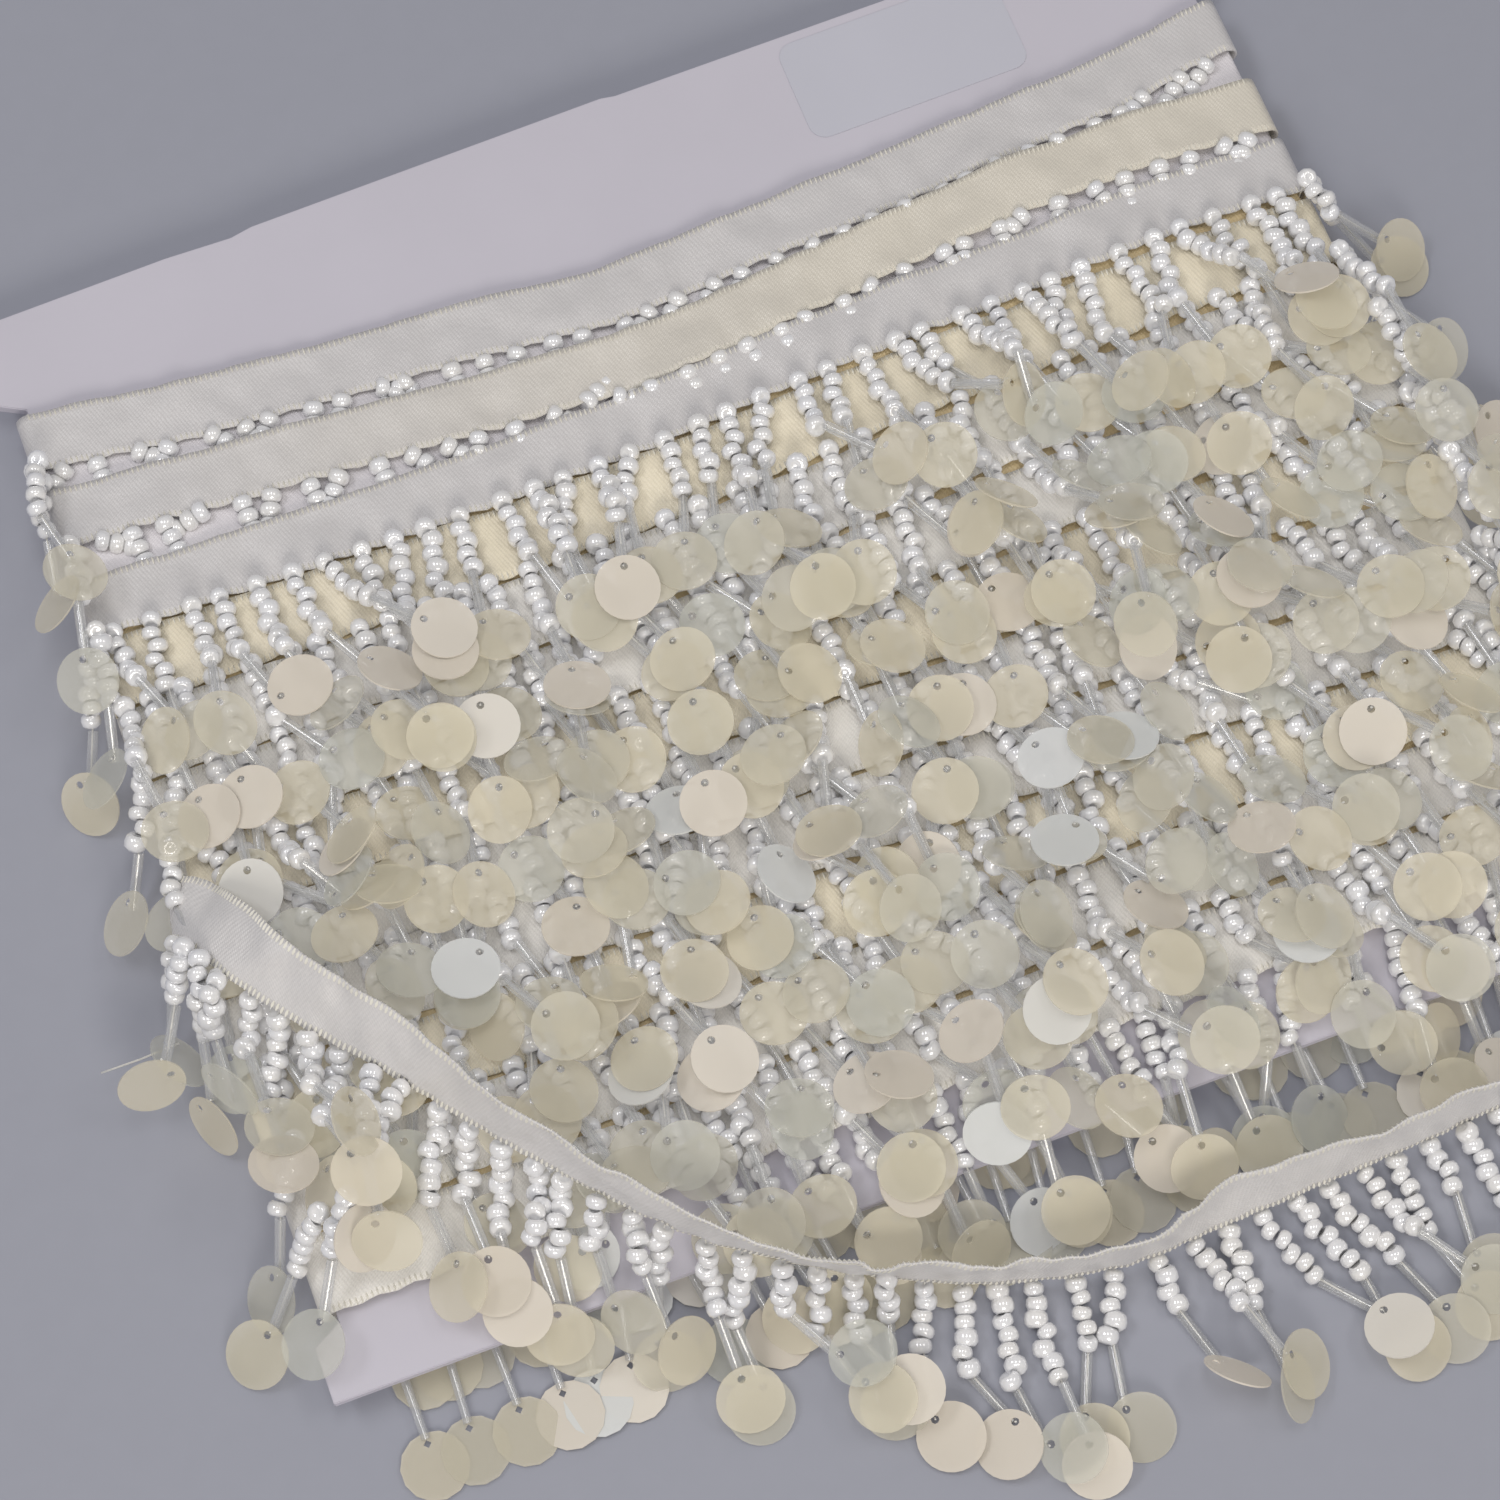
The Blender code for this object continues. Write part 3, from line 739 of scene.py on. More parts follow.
class Pile:
    """The height of all that lies on the table, on a fine grid, as each strand settles."""

    def __init__(self):
        self.xs, self.ys = (np.arange(*ends, PILE_STEP) for ends in zip(PILE_LOW, PILE_HIGH))
        self.height = np.zeros((len(self.xs), len(self.ys)))

    def patch(self, x, y, reach):
        """The cells within reach of a point, and how far each of them lies from it."""
        part = []
        for at, low in ((x, PILE_LOW[0]), (y, PILE_LOW[1])):
            first = max(0, int((at - reach - low) / PILE_STEP))
            part.append(slice(first, max(first + 1, int((at + reach - low) / PILE_STEP) + 2)))
        part = tuple(part)
        return part, self.xs[part[0]][:, None] - x, self.ys[part[1]][None, :] - y

    def raise_to(self, part, under, surface):
        here = self.height[part]
        self.height[part] = np.where(under, np.maximum(here, surface), here)

    def dome(self, x, y, radius):
        """The cells near a ball, which of them it covers, and its height over its middle there."""
        part, dx, dy = self.patch(x, y, radius)
        square = radius**2 - dx**2 - dy**2
        under = square > 0
        return part, under, np.sqrt(np.where(under, square, 0.0))

    def ball_rest(self, x, y, radius):
        """The height at which a ball's middle comes to rest."""
        part, under, rise = self.dome(x, y, radius)
        return float((self.height[part] + rise)[under].max())

    def lay_ball(self, centre, radius):
        part, under, rise = self.dome(*centre[:2], radius)
        self.raise_to(part, under, centre[2] + rise)

    def disc_rest(self, x, y, radius, out, wanted, lean):
        """The slope and height at which a disc rests, held by its hole near a wanted height.

        out is the way from its middle to its hole, and lean a slope that is added to it.
        """
        part, dx, dy = self.patch(x, y, radius)
        under = dx**2 + dy**2 < radius**2
        cells = np.stack([np.broadcast_to(d, under.shape)[under] for d in (dx, dy)])
        ground = self.height[part][under]
        best = np.zeros(2)
        for spread in (0.3, 0.1):
            grid = np.arange(-2, 3) * spread
            tries = np.array([(best[0] + a, best[1] + b) for a in grid for b in grid])
            middles = (ground[None, :] - tries @ cells).max(axis=1)
            held = middles + tries @ out
            cost = middles + 0.5 * np.abs(held - wanted) + 0.6 * (tries**2).sum(axis=1)
            best = tries[int(cost.argmin())]
        slope = best + lean
        covered, steep, short = tilted_disc(*cells, radius, slope)
        middle = float((ground[covered] - slope @ cells[:, covered]).max())
        return slope, max(middle, (radius + RIM_TO_SPARE) * steep * short)

    def lay_disc(self, x, y, radius, slope, middle):
        part, dx, dy = self.patch(x, y, radius)
        under, *_ = tilted_disc(dx, dy, radius, slope)
        self.raise_to(part, under, middle + slope[0] * dx + slope[1] * dy)

    def lay_winding(self, width):
        """The card, what shows between the turns, and the turns themselves."""
        x, y = self.xs[:, None], self.ys[None, :]
        board = (abs(x) < CARD_HALF_WIDTH) & (y > CARD_FOOT) & (y < HEAD_ABOVE_MIDDLE)
        self.height[board] = CARD_FRONT
        for i, at in enumerate(self.xs):
            if abs(at) > WAIST_HALF_WIDTH + SIDE_BULGE:
                continue
            for turn in range(1, TURNS + 1):
                top, high = turn_top(turn, at), turn_height(turn, at)
                under = (self.ys < top + PAST_HEAD) & (self.ys > top - width - PAST_FOOT)
                head = top + (TUCKED if turn > FIRST_FRINGED_TURN else 0.0)
                face = (self.ys < head) & (self.ys > top - width)
                self.height[i, under] = np.maximum(self.height[i, under], high - GAP_DEPTH)
                self.height[i, face] = high + FACE_PROUD


class Strung:
    """What is strung on a group of strands: a list of places, kinds, turns and sizes."""

    def __init__(self):
        self.rows = []

    def put(self, kind, place, up, ahead, size, tint):
        """One element, its own z along up and its y as near ahead as that allows."""
        z = Vector(up).normalized()
        y = Vector(ahead) - z * z.dot(Vector(ahead))
        y = y.normalized() if y.length > 1e-6 else z.orthogonal().normalized()
        turn = Matrix((y.cross(z), y, z)).transposed().to_quaternion()
        self.rows.append((kind, tint, tuple(turn), size, tuple(place)))

    def thread(self, start, end):
        start, end = Vector(start), Vector(end)
        way = end - start
        if way.length > 0.05:
            size = (1.0, 1.0, way.length / THREAD_WIDTH)
            self.put(THREAD, (start + end) / 2, way, way.orthogonal(), size, 0.5)

    def mesh(self, name):
        """The points, with what the tree reads from each."""
        *columns, places = zip(*self.rows)
        mesh = new_mesh(name, placed(places), ())
        kinds = {"kind": "INT", "tint": "FLOAT", "turn": "QUATERNION", "size": "FLOAT_VECTOR"}
        for (label, kind), values in zip(kinds.items(), columns):
            give(mesh, label, kind, values)
        return mesh


class Stringing:
    """Sizes of what is strung, in millimetres, as the panel gives them."""

    def __init__(self, sizes):
        self.ribbon = sizes.ribbon_width / MM
        self.pitch = sizes.strand_pitch / MM
        self.bead = sizes.bead_width / MM
        self.bead_pitch = sizes.bead_pitch / MM
        self.bugle = sizes.bugle_length / MM
        self.tube = sizes.bugle_width / MM
        self.disc = sizes.paillette_width / MM
        self.seed = sizes.seed


def unit(bearing):
    return np.array((math.cos(bearing), math.sin(bearing)))


def rod_rest(pile, start, way, length, radius):
    """Heights of a rod's two ends where it lies stable on the pile."""
    parts = np.linspace(0.0, 1.0, 8)
    rests = np.array([pile.ball_rest(*(start + way * length * t), radius) for t in parts])
    found = []
    for i, j in itertools.combinations(range(len(parts)), 2):
        slope = (rests[j] - rests[i]) / (parts[j] - parts[i])
        line = rests[i] + slope * (parts - parts[i])
        lift = max(0.0, float((rests - line).max()))
        found.append((rests[i] + slope * (0.5 - parts[i]) + lift, slope))
    middle, slope = min(found, key=lambda pair: pair[0])
    most = STEEPEST * length
    if abs(slope) > most:
        slope = math.copysign(most, slope)
        middle = float((rests - slope * (parts - 0.5)).max())
    return middle - slope / 2, middle + slope / 2


# How many beads a strand has, in the shares seen
BEAD_COUNTS = (4, 5, 5, 6, 6, 6, 7, 7)

# At each bead the path may turn by a share of the strand's swing, and then turns back by a
# share of what it is off its bearing
TURN_SHARE, TURN_BACK = 0.6, 0.3

# From the root to the first bead in radii, and the least that a step reaches seen from above
FIRST_STEP, LEAST_REACH = 0.85, 0.5

# How far the beads step out to either side by turns, and how far each strays from that
ZIGZAG, ZIGZAG_STRAY = 0.24, 0.12

# How far beads lean off the way of their thread
BEAD_LEAN = 0.2

# The gap from the last bead to the tube, and how far the tube may start below and above it
TUBE_GAP, TUBE_BELOW, TUBE_ABOVE = 0.1, 1.0, 0.9

# Least and most of a bead's width, and of its height for its width, in parts of the usual
BEAD_WIDTHS = (0.87, 1.05)
BEAD_HEIGHTS = (0.9, 1.15)

# The share of paillettes that lie at a slant, how much so, how far they turn in degrees, how
# far their hole is from the tube's end at least and at most, and how far the thread lies over it
SLANTED, SLANT, DISC_TURN = 0.35, 0.3, 28.0
HOLE_GAPS = (0.3, 0.7)
THREAD_OVER = 0.12

# Out of the card's face
UP = (0.0, 0.0, 1.0)


def settle_beads(pile, make, root, heading, draw, swing):
    """Where a strand's beads come to rest, how high, and where its last step ends."""
    radius = make.bead / 2
    count = int(draw.choice(BEAD_COUNTS))
    wander = heading
    here = np.array(root[:2], dtype=float)
    height = float(root[2])
    spots, heights = [], []
    side = 1.0 if draw.random() < 0.5 else -1.0
    for i in range(count):
        wander += math.radians(draw.normal(0.0, swing * TURN_SHARE))
        wander += (heading - wander) * TURN_BACK
        step = make.bead_pitch if i else radius * FIRST_STEP
        reach = step
        for _ in range(2):
            rest = pile.ball_rest(*(here + unit(wander) * reach), radius * NESTLE)
            low = max(rest, height - STEEPEST * step, radius * WIDEST)
            reach = math.sqrt(max(step**2 - (low - height) ** 2, (LEAST_REACH * step) ** 2))
        here = here + unit(wander) * reach
        weave = side * (-1.0) ** i * ZIGZAG + draw.normal(0.0, ZIGZAG_STRAY)
        spots.append(here + unit(wander + math.pi / 2) * (weave if i else 0.0))
        heights.append(low)
        height = low
    return spots, heights, here


def hang_disc(pile, strung, make, end, way, draw, lean):
    """Lays a strand's paillette past the end of its tube, and finds where its thread ends."""
    down = unit(math.atan2(way[1], way[0]) + math.radians(draw.normal(0.0, DISC_TURN)))
    reach = make.disc / 2 * HOLE_OUT
    hole = end[:2] + way * draw.uniform(*HOLE_GAPS)
    tilt = np.array(lean if lean else (0.0, 0.0))
    if lean is None and draw.random() < SLANTED:
        tilt = draw.normal(0.0, SLANT, 2)
    flatness = 1.0 / math.sqrt(1.0 + float(tilt @ down) ** 2)
    at = hole + down * reach * flatness
    slope, middle = pile.disc_rest(*at, make.disc / 2 - 0.1, -down * reach, end[2], tilt)
    middle += FILM / 2
    pile.lay_disc(*at, make.disc / 2, slope, middle + FILM / 2)
    size = (1.0, 1.0, FILM / make.disc)
    face = (-slope[0], -slope[1], 1.0)
    strung.put(PAILLETTE, (*at, middle), face, (-down[0], -down[1], 0.0), size, float(draw.random()))
    return np.array((*hole, middle + float(slope @ (hole - at)) + THREAD_OVER))


def settle_strand(pile, strung, make, root, bearing, draw, swing=12.0, lean=None, bend=8.0):
    """Lays one strand from its root on the pile: its beads, its bugle and its paillette."""
    radius = make.bead / 2
    heading = math.radians(bearing)
    spots, heights, here = settle_beads(pile, make, root, heading, draw, swing)
    way = unit(heading + math.radians(bend + draw.normal(0.0, swing)))
    start = here + way * (make.bead_pitch * 0.5 + TUBE_GAP)
    near, far = rod_rest(pile, start, way, make.bugle, make.tube / 2)
    near = max(near, heights[-1] - TUBE_BELOW)
    heights[-1] = max(heights[-1], near - TUBE_ABOVE)
    for i in range(len(heights) - 1, 0, -1):
        heights[i - 1] = max(heights[i - 1], heights[i] - STEEPEST * make.bead_pitch)
    centres = [np.array((*spot, high)) for spot, high in zip(spots, heights)]
    slope = (far - near) / make.bugle
    flat = 1.0 / math.sqrt(1.0 + slope**2)
    rod_start = np.array((*start, near))
    rod_way = np.array((*(way * flat), slope * flat))
    rod_end = rod_start + rod_way * make.bugle
    path = [np.array(root, dtype=float), *centres, rod_start]
    for before, centre, after in zip(path, centres, path[2:]):
        lay = (after - before) / max(1e-6, float(np.linalg.norm(after - before)))
        lay = lay + draw.normal(0.0, BEAD_LEAN, 3)
        wide = draw.uniform(*BEAD_WIDTHS)
        size = (wide, wide, wide * draw.uniform(*BEAD_HEIGHTS))
        strung.put(PEARL, centre, lay, UP, size, float(draw.random()))
        pile.lay_ball(centre, radius * NESTLE)
    size = (1.0, 1.0, make.bugle / make.tube)
    strung.put(BUGLE, (rod_start + rod_end) / 2, rod_way, UP, size, float(draw.random()))
    for t in np.linspace(0.0, 1.0, 12):
        pile.lay_ball(rod_start + (rod_end - rod_start) * t, make.tube / 2)
    eye = hang_disc(pile, strung, make, rod_end, way, draw, lean)
    strung.thread((*here, heights[-1]), rod_end)
    strung.thread(rod_end, eye)
    strung.thread(path[0], centres[0])


# How far neighbours on a turn lean together or apart, over how many millimetres, and how far
# each strays from that, in degrees
CLUMPING, CLUMP_WIDTH, ROW_SWAY = 22.0, 8.0, 6.0

# Along a turn: from the card's side to the first strand and to the last, how far the strands
# stray from an even pitch, the part of a pitch that each turn is shifted by, and how far past
# the waist a strand may stand
ROW_START, ROW_END = 1.8, 1.6
ROW_STRAY, ROW_SHIFT, ROW_PAST = 0.35, 0.4, 0.3

# How far up from a turn's foot its strands start, and how far under its face
ROOT_UP, ROOT_UNDER = 0.25, 0.3

# Each group of strands draws its numbers from a series of its own
SIDE_SERIES, LOOSE_SERIES, BACK_SERIES = 40, 60, 80


def row_places(turn, make, draw):
    """Where the strands of a turn leave its foot, in the order in which they settle."""
    count = int(2 * (WAIST_HALF_WIDTH - ROW_END) / make.pitch)
    steps = np.arange(count + 1) + ROW_SHIFT * (turn % 3) / 3
    places = -WAIST_HALF_WIDTH + ROW_START + make.pitch * steps
    places = places + draw.normal(0.0, ROW_STRAY, count + 1)
    first = BARE_UP_TO.get(turn, -WAIST_HALF_WIDTH - ROW_PAST)
    return [float(x) for x in draw.permutation(places) if first < x < WAIST_HALF_WIDTH + ROW_PAST]


def lay_row(pile, make, turn):
    """All the strands along one turn's foot."""
    draw = np.random.default_rng((make.seed, turn))
    strung = Strung()
    for x in row_places(turn, make, draw):
        root = (x, turn_top(turn, x) - make.ribbon + ROOT_UP, turn_height(turn, x) - ROOT_UNDER)
        clump = CLUMPING * noise.noise(Vector((x / CLUMP_WIDTH, turn * 3.7, 0.5)))
        bearing = read(HANG, x) + clump + draw.normal(0.0, ROW_SWAY)
        settle_strand(pile, strung, make, root, bearing, draw)
    return strung


# Where strands run on under the next turn: the beads that show, how far the first lies under
# the ribbon's face and each next one under that, how far the strands stray from straight down
# in degrees, how far from the foot they start at least and at most, and the beads' widths
STUB_BEADS, STUB_UNDER, STUB_DROP, STUB_STRAY = 3, 0.35, 0.4, 38.0
STUB_STARTS = (0.35, 0.75)
STUB_WIDTHS = (0.94, 1.05)


def head_stubs(make, turn):
    """The first beads of a turn whose strands run on under the next turn."""
    draw = np.random.default_rng((make.seed, turn))
    strung = Strung()
    for x in row_places(turn, make, draw):
        floor = turn_height(turn, x) - STUB_UNDER
        way = unit(math.radians(-90.0 + draw.normal(0.0, STUB_STRAY)))
        foot = np.array((x, turn_top(turn, x) - make.ribbon))
        here = foot + way * draw.uniform(*STUB_STARTS)
        for i in range(STUB_BEADS):
            wide = draw.uniform(*STUB_WIDTHS)
            centre = (*here, floor - STUB_DROP * i)
            strung.put(PEARL, centre, (*way, -0.25), UP, (wide, wide, wide), float(draw.random()))
            here = here + way * make.bead_pitch
    return strung


# At the card's side: how far out of the waist and up from the foot the first strand starts,
# how high, how much further out and lower each next one, and how far they sway, in degrees
SIDE_OUT, SIDE_UP, SIDE_HIGH = 0.4, 0.2, 5.2
SIDE_STEP, SIDE_DROP, SIDE_SWAY = 1.0, 1.4, 8.0


def side_strands(pile, make, side):
    """Strands that leave the ribbon where it turns round the card's edge, each below the last."""
    draw = np.random.default_rng((make.seed, SIDE_SERIES + int(side)))
    strung = Strung()
    for turn, count, bearing in LEFT_STRANDS if side < 0 else RIGHT_STRANDS:
        foot = turn_top(turn, side * WAIST_HALF_WIDTH) - make.ribbon
        for i in reversed(range(count)):
            x = side * (WAIST_HALF_WIDTH + SIDE_OUT + SIDE_STEP * i)
            root = (x, foot + SIDE_UP, SIDE_HIGH - SIDE_DROP * i)
            settle_strand(pile, strung, make, root, bearing + draw.normal(0.0, SIDE_SWAY), draw)
    if side < 0:
        for *root, bearing in PUSHED_STRANDS:
            settle_strand(pile, strung, make, root, bearing, draw, swing=5.0)
    return strung


def smooth_through(points, step):
    """Points a step apart on a smooth curve through the table's rows, all columns alike."""
    rows = [np.array(row, dtype=float) for row in points]
    rows = [2 * rows[0] - rows[1], *rows, 2 * rows[-1] - rows[-2]]
    found = []
    for before, here, there, after in zip(rows, rows[1:], rows[2:], rows[3:]):
        pieces = max(1, round(float(np.linalg.norm(there[:3] - here[:3])) / step))
        for t in (i / pieces for i in range(pieces)):
            square = (2 * before - 5 * here + 4 * there - after) * t**2
            cube = (3 * here - before - 3 * there + after) * t**3
            found.append(0.5 * (2 * here + (there - before) * t + square + cube))
    return [*found, rows[-2]]


def loose_frames():
    """(fringed edge, way across, way out of its face) at each millimetre of the loose end."""
    rows = smooth_through(LOOSE, 1.0)
    edges = [Vector(row[:3]) for row in rows]
    frames = []
    for i, row in enumerate(rows):
        along = (edges[min(i + 1, len(edges) - 1)] - edges[max(i - 1, 0)]).normalized()
        turn, rise = math.radians(row[3]), math.radians(row[4])
        flat = math.cos(rise)
        across = Vector((math.cos(turn) * flat, math.sin(turn) * flat, math.sin(rise)))
        across = (across - along * across.dot(along)).normalized()
        frames.append((edges[i], across, along.cross(across).normalized()))
    return frames


# The first strand of the loose end and the end of its fold, along its edge, and the pitch there
FIRST_LOOSE_STRAND = 9.0
FOLD_END = 16.0
FOLD_PITCH = 2.8

# Left of here the loose end's paillettes hang on edge, as does a share of all the others
FOLD_X = -79.0
ON_EDGE = 0.12

# Where the second and the third run of the loose end's strands start
RUNS_START = (-43.0, -2.0)

# The cut end of a thread, which sticks out past the fold
THREAD_END = ((-86.5, -25.4, 5.5), (-91.3, -25.9, 6.2), (-96.1, -25.2, 4.2))

# Points across the loose end, and how many of its swells are drawn, each 5 mm long
LOOSE_ACROSS = 8
SWELLS = 40


def loose_sheet(width):
    """Points of the loose end's ribbon, a row across it at each step, with a slight ripple."""
    swell = np.random.default_rng(12).normal(0.0, 1.0, SWELLS)
    rows = []
    for i, (edge, across, face) in enumerate(loose_frames()):
        row = []
        for j in range(LOOSE_ACROSS + 1):
            v = j / LOOSE_ACROSS
            ripple = 0.22 * float(np.interp(i / 5.0, range(SWELLS), swell)) * math.sin(math.pi * v)
            ripple += 0.9 * noise.noise(Vector((i / 5.0, v * 1.6, 3.0))) * v
            ripple += 0.35 * noise.noise(Vector((i / 2.4, v * 2.5, 8.0)))
            row.append(edge + across * width * v + face * ripple)
        rows.append(row)
    return rows


def lay_loose_fringe(pile, make):
    """The strands of the loose end, in three runs from the card's edge to the far end."""
    draw = np.random.default_rng((make.seed, LOOSE_SERIES))
    edges = [edge for edge, *_ in loose_frames()]
    reach = [0.0]
    for here, there in zip(edges, edges[1:]):
        reach.append(reach[-1] + (there - here).length)
    folded, flat = [], []
    distance = FIRST_LOOSE_STRAND
    while distance < reach[-1] - 1.0:
        in_fold = distance < FOLD_END
        found = [float(np.interp(distance, reach, [edge[i] for edge in edges])) for i in range(3)]
        (folded if in_fold else flat).append(found)
        distance += (FOLD_PITCH if in_fold else make.pitch) + float(draw.normal(0.0, 0.3))
    runs = (Strung(), Strung(), Strung())
    for x, y, z in (*folded, *reversed(flat)):
        run = runs[sum(x >= start for start in RUNS_START)]
        bearing = read(LOOSE_HANG, x) + draw.normal(0.0, 5.0)
        on_edge = x < FOLD_X or draw.random() < ON_EDGE
        lean = tuple(draw.normal(0.0, 1.1, 2)) if on_edge else None
        bend = read(LOOSE_HANG, x, 2)
        root = (x, y, z - ROOT_UNDER)
        settle_strand(pile, run, make, root, bearing, draw, lean=lean, bend=bend)
    for start, end in zip(THREAD_END, THREAD_END[1:]):
        runs[0].thread(start, end)
    return runs


# Under the card: strands to a turn, the first one's place, their pitch and their beads, the
# heights of first bead and bugle, the drop to each next bead, and the least of a paillette's
BACK_STRANDS, BACK_FIRST, BACK_PITCH, BACK_BEADS = 28, -74.0, 5.5, 5
BACK_HIGH, BACK_BUGLE, BACK_DROP, BACK_LEAST = 2.1, 1.25, 0.09, 0.45


def back_rows(make, turns):
    """The strands under the card, pressed flat between the back turns and the table."""
    strung = Strung()
    for turn in turns:
        draw = np.random.default_rng((make.seed, BACK_SERIES + turn))
        for i in range(BACK_STRANDS):
            x = BACK_FIRST + BACK_PITCH * i + draw.normal(0.0, 0.5)
            way = unit(math.radians(-90.0 + draw.normal(0.0, 7.0)))
            lay = (*way, -0.1)
            here = np.array((x, turn_top(turn, x) - make.ribbon))
            for j in range(BACK_BEADS):
                spot = (*(here + way * (0.9 + make.bead_pitch * j)), BACK_HIGH - BACK_DROP * j)
                strung.put(PEARL, spot, lay, UP, (0.9, 0.9, 0.95), 0.5)
            middle = here + way * (0.9 + make.bead_pitch * 4.6 + make.bugle / 2)
            size = (0.9, 0.9, make.bugle / make.tube)
            strung.put(BUGLE, (*middle, BACK_BUGLE), lay, UP, size, 0.5)
            disc = middle + way * (make.bugle / 2 + 0.5 + make.disc * HOLE_OUT / 2)
            tilt = (draw.normal(0.0, 0.03), draw.normal(0.0, 0.03), 1.0)
            high = max(BACK_LEAST, FILM + make.disc / 2 * math.hypot(*tilt[:2]))
            size = (1.0, 1.0, FILM / make.disc)
            strung.put(PAILLETTE, (*disc, high), tilt, (*-way, 0.0), size, float(draw.random()))
    return strung


# Stations once round the card on its front, at each side and on its back, points across the
# ribbon, and the strands' pitch as it presses into the turns
FRONT_COLUMNS, SIDE_COLUMNS, BACK_COLUMNS = 150, 7, 30
BAND_ACROSS = 8
PRESSED_PITCH = 4.4

# How ribbed the first turns are by the strands under them, and all the others
RIBBED = {1: 0.02, 2: 0.10, 3: 0.12, 4: 0.16}
OTHERS_RIBBED = 0.08


def loop_stations(front_height, bulge, back):
    """(x, height, share of the front) once round the card, leftwards on its back."""
    half = WAIST_HALF_WIDTH
    fronts = [-half + 2 * half * i / FRONT_COLUMNS for i in range(FRONT_COLUMNS + 1)]
    backs = [half - 2 * half * i / BACK_COLUMNS for i in range(BACK_COLUMNS + 1)]
    arcs = []
    for side in (1.0, -1.0):
        high = front_height(side * half)
        middle, rise = (high + back) / 2, (high - back) / 2
        angles = [math.pi * i / (SIDE_COLUMNS + 1) for i in range(1, SIDE_COLUMNS + 1)]
        arcs.append(
            [(side * (half + bulge * math.sin(a)), middle + rise * math.cos(a), 0.0) for a in angles]
        )
    stations = [(x, front_height(x), 1.0) for x in fronts]
    return [*stations, *arcs[0], *((x, back, 0.0) for x in backs), *reversed(arcs[1])]


def crumple(turn, x, v):
    """How far a turn's face stands out of its plane, from what lies under it."""
    place = Vector((x / 8.0, v * 1.1, turn * 7.3))
    fine = Vector((x / 2.6, v * 2.2, turn * 3.1))
    ribs = math.sin(2 * math.pi * x / PRESSED_PITCH + turn + 1.2 * v)
    ribbed = RIBBED.get(turn, OTHERS_RIBBED)
    return 0.6 * noise.noise(place) + 0.36 * noise.noise(fine) + ribbed * ribs * v


def turn_points(turn, width):
    """A row of points across the ribbon at each station of its loop."""
    rows = []
    for x, z, front in loop_stations(lambda x: turn_height(turn, x), SIDE_BULGE, BACK_OF_TURNS):
        top = turn_top(turn, x)
        if turn > FIRST_FRINGED_TURN:
            top += TUCKED
        wide = top - turn_top(turn, x) + width
        row = []
        for j in range(BAND_ACROSS + 1):
            v = j / BAND_ACROSS
            fade = front * min(1.0, (WAIST_HALF_WIDTH - abs(x)) / 4.0)
            waver = 0.18 * noise.noise(Vector((x / 5.0, turn * 5.7, 2.0 if j else 9.0))) * front
            scallop = 0.14 * math.cos(2 * math.pi * x / PRESSED_PITCH + turn) * v**3 * front
            y = top - wide * v + waver + scallop
            row.append((x, y, z + crumple(turn, x, v) * fade))
        rows.append(row)
    return rows


# The earlier turns: points across them, how far below the top of a turn they start and end,
# or end at the card's foot, and the least that their face lies at
EARLIER_ACROSS = 60
EARLIER_START, EARLIER_END, EARLIER_FOOT = 2.5, 1.5, 7.0
EARLIER_LEAST = 5.8

# From a turn's upper edge to the middle of its face
HALF_FACE = 4.0

# How high the earlier turns lie at the card's sides, how far they bulge there, where their
# back is, and how thick they are in metres
EARLIER_SIDES, EARLIER_BULGE, EARLIER_BACK = 6.2, 0.8, 3.75
EARLIER_THICKNESS = 0.0003

# Their names, colours, first and last turn, and how far below the turns' faces they lie.
# Both colours are painted: the head sheet, paler than the card, is painted light that lifts the
# shade in the gaps under the first turns; the golden sheet is painted warm shade in the gaps
# between the lower turns, which are white and cream ribbon
EARLIER_TURNS = (
    ("earlier_head_turns", "#f0ebee", 1, 3, 1.4),
    ("earlier_turns", "#f2d9a6", 3, TURNS, GAP_DEPTH),
)


def earlier_turns(first, last, depth):
    """The face of a sheet under the turns, showing through the gaps from first to last: the turns wound
    before, or under the first turns a pale sheet of painted light.
    """
    rows = []
    numbers = range(1, TURNS + 1)
    for x, z, front in loop_stations(lambda x: EARLIER_SIDES, EARLIER_BULGE, EARLIER_BACK):
        top = turn_top(first, x) - EARLIER_START
        foot = turn_top(last, x) - (EARLIER_END if last < TURNS else EARLIER_FOOT)
        middles = [HALF_FACE - turn_top(turn, x) for turn in numbers]
        heights = [turn_height(turn, x) for turn in numbers]
        row = []
        for j in range(EARLIER_ACROSS + 1):
            y = top + (foot - top) * j / EARLIER_ACROSS
            lift = 0.12 * noise.noise(Vector((x / 3.0, y / 1.7, 1.0))) * front
            face = max(EARLIER_LEAST, float(np.interp(-y, middles, heights)) - depth)
            row.append((x, y, (face if front else z) + lift))
        rows.append(row)
    return rows


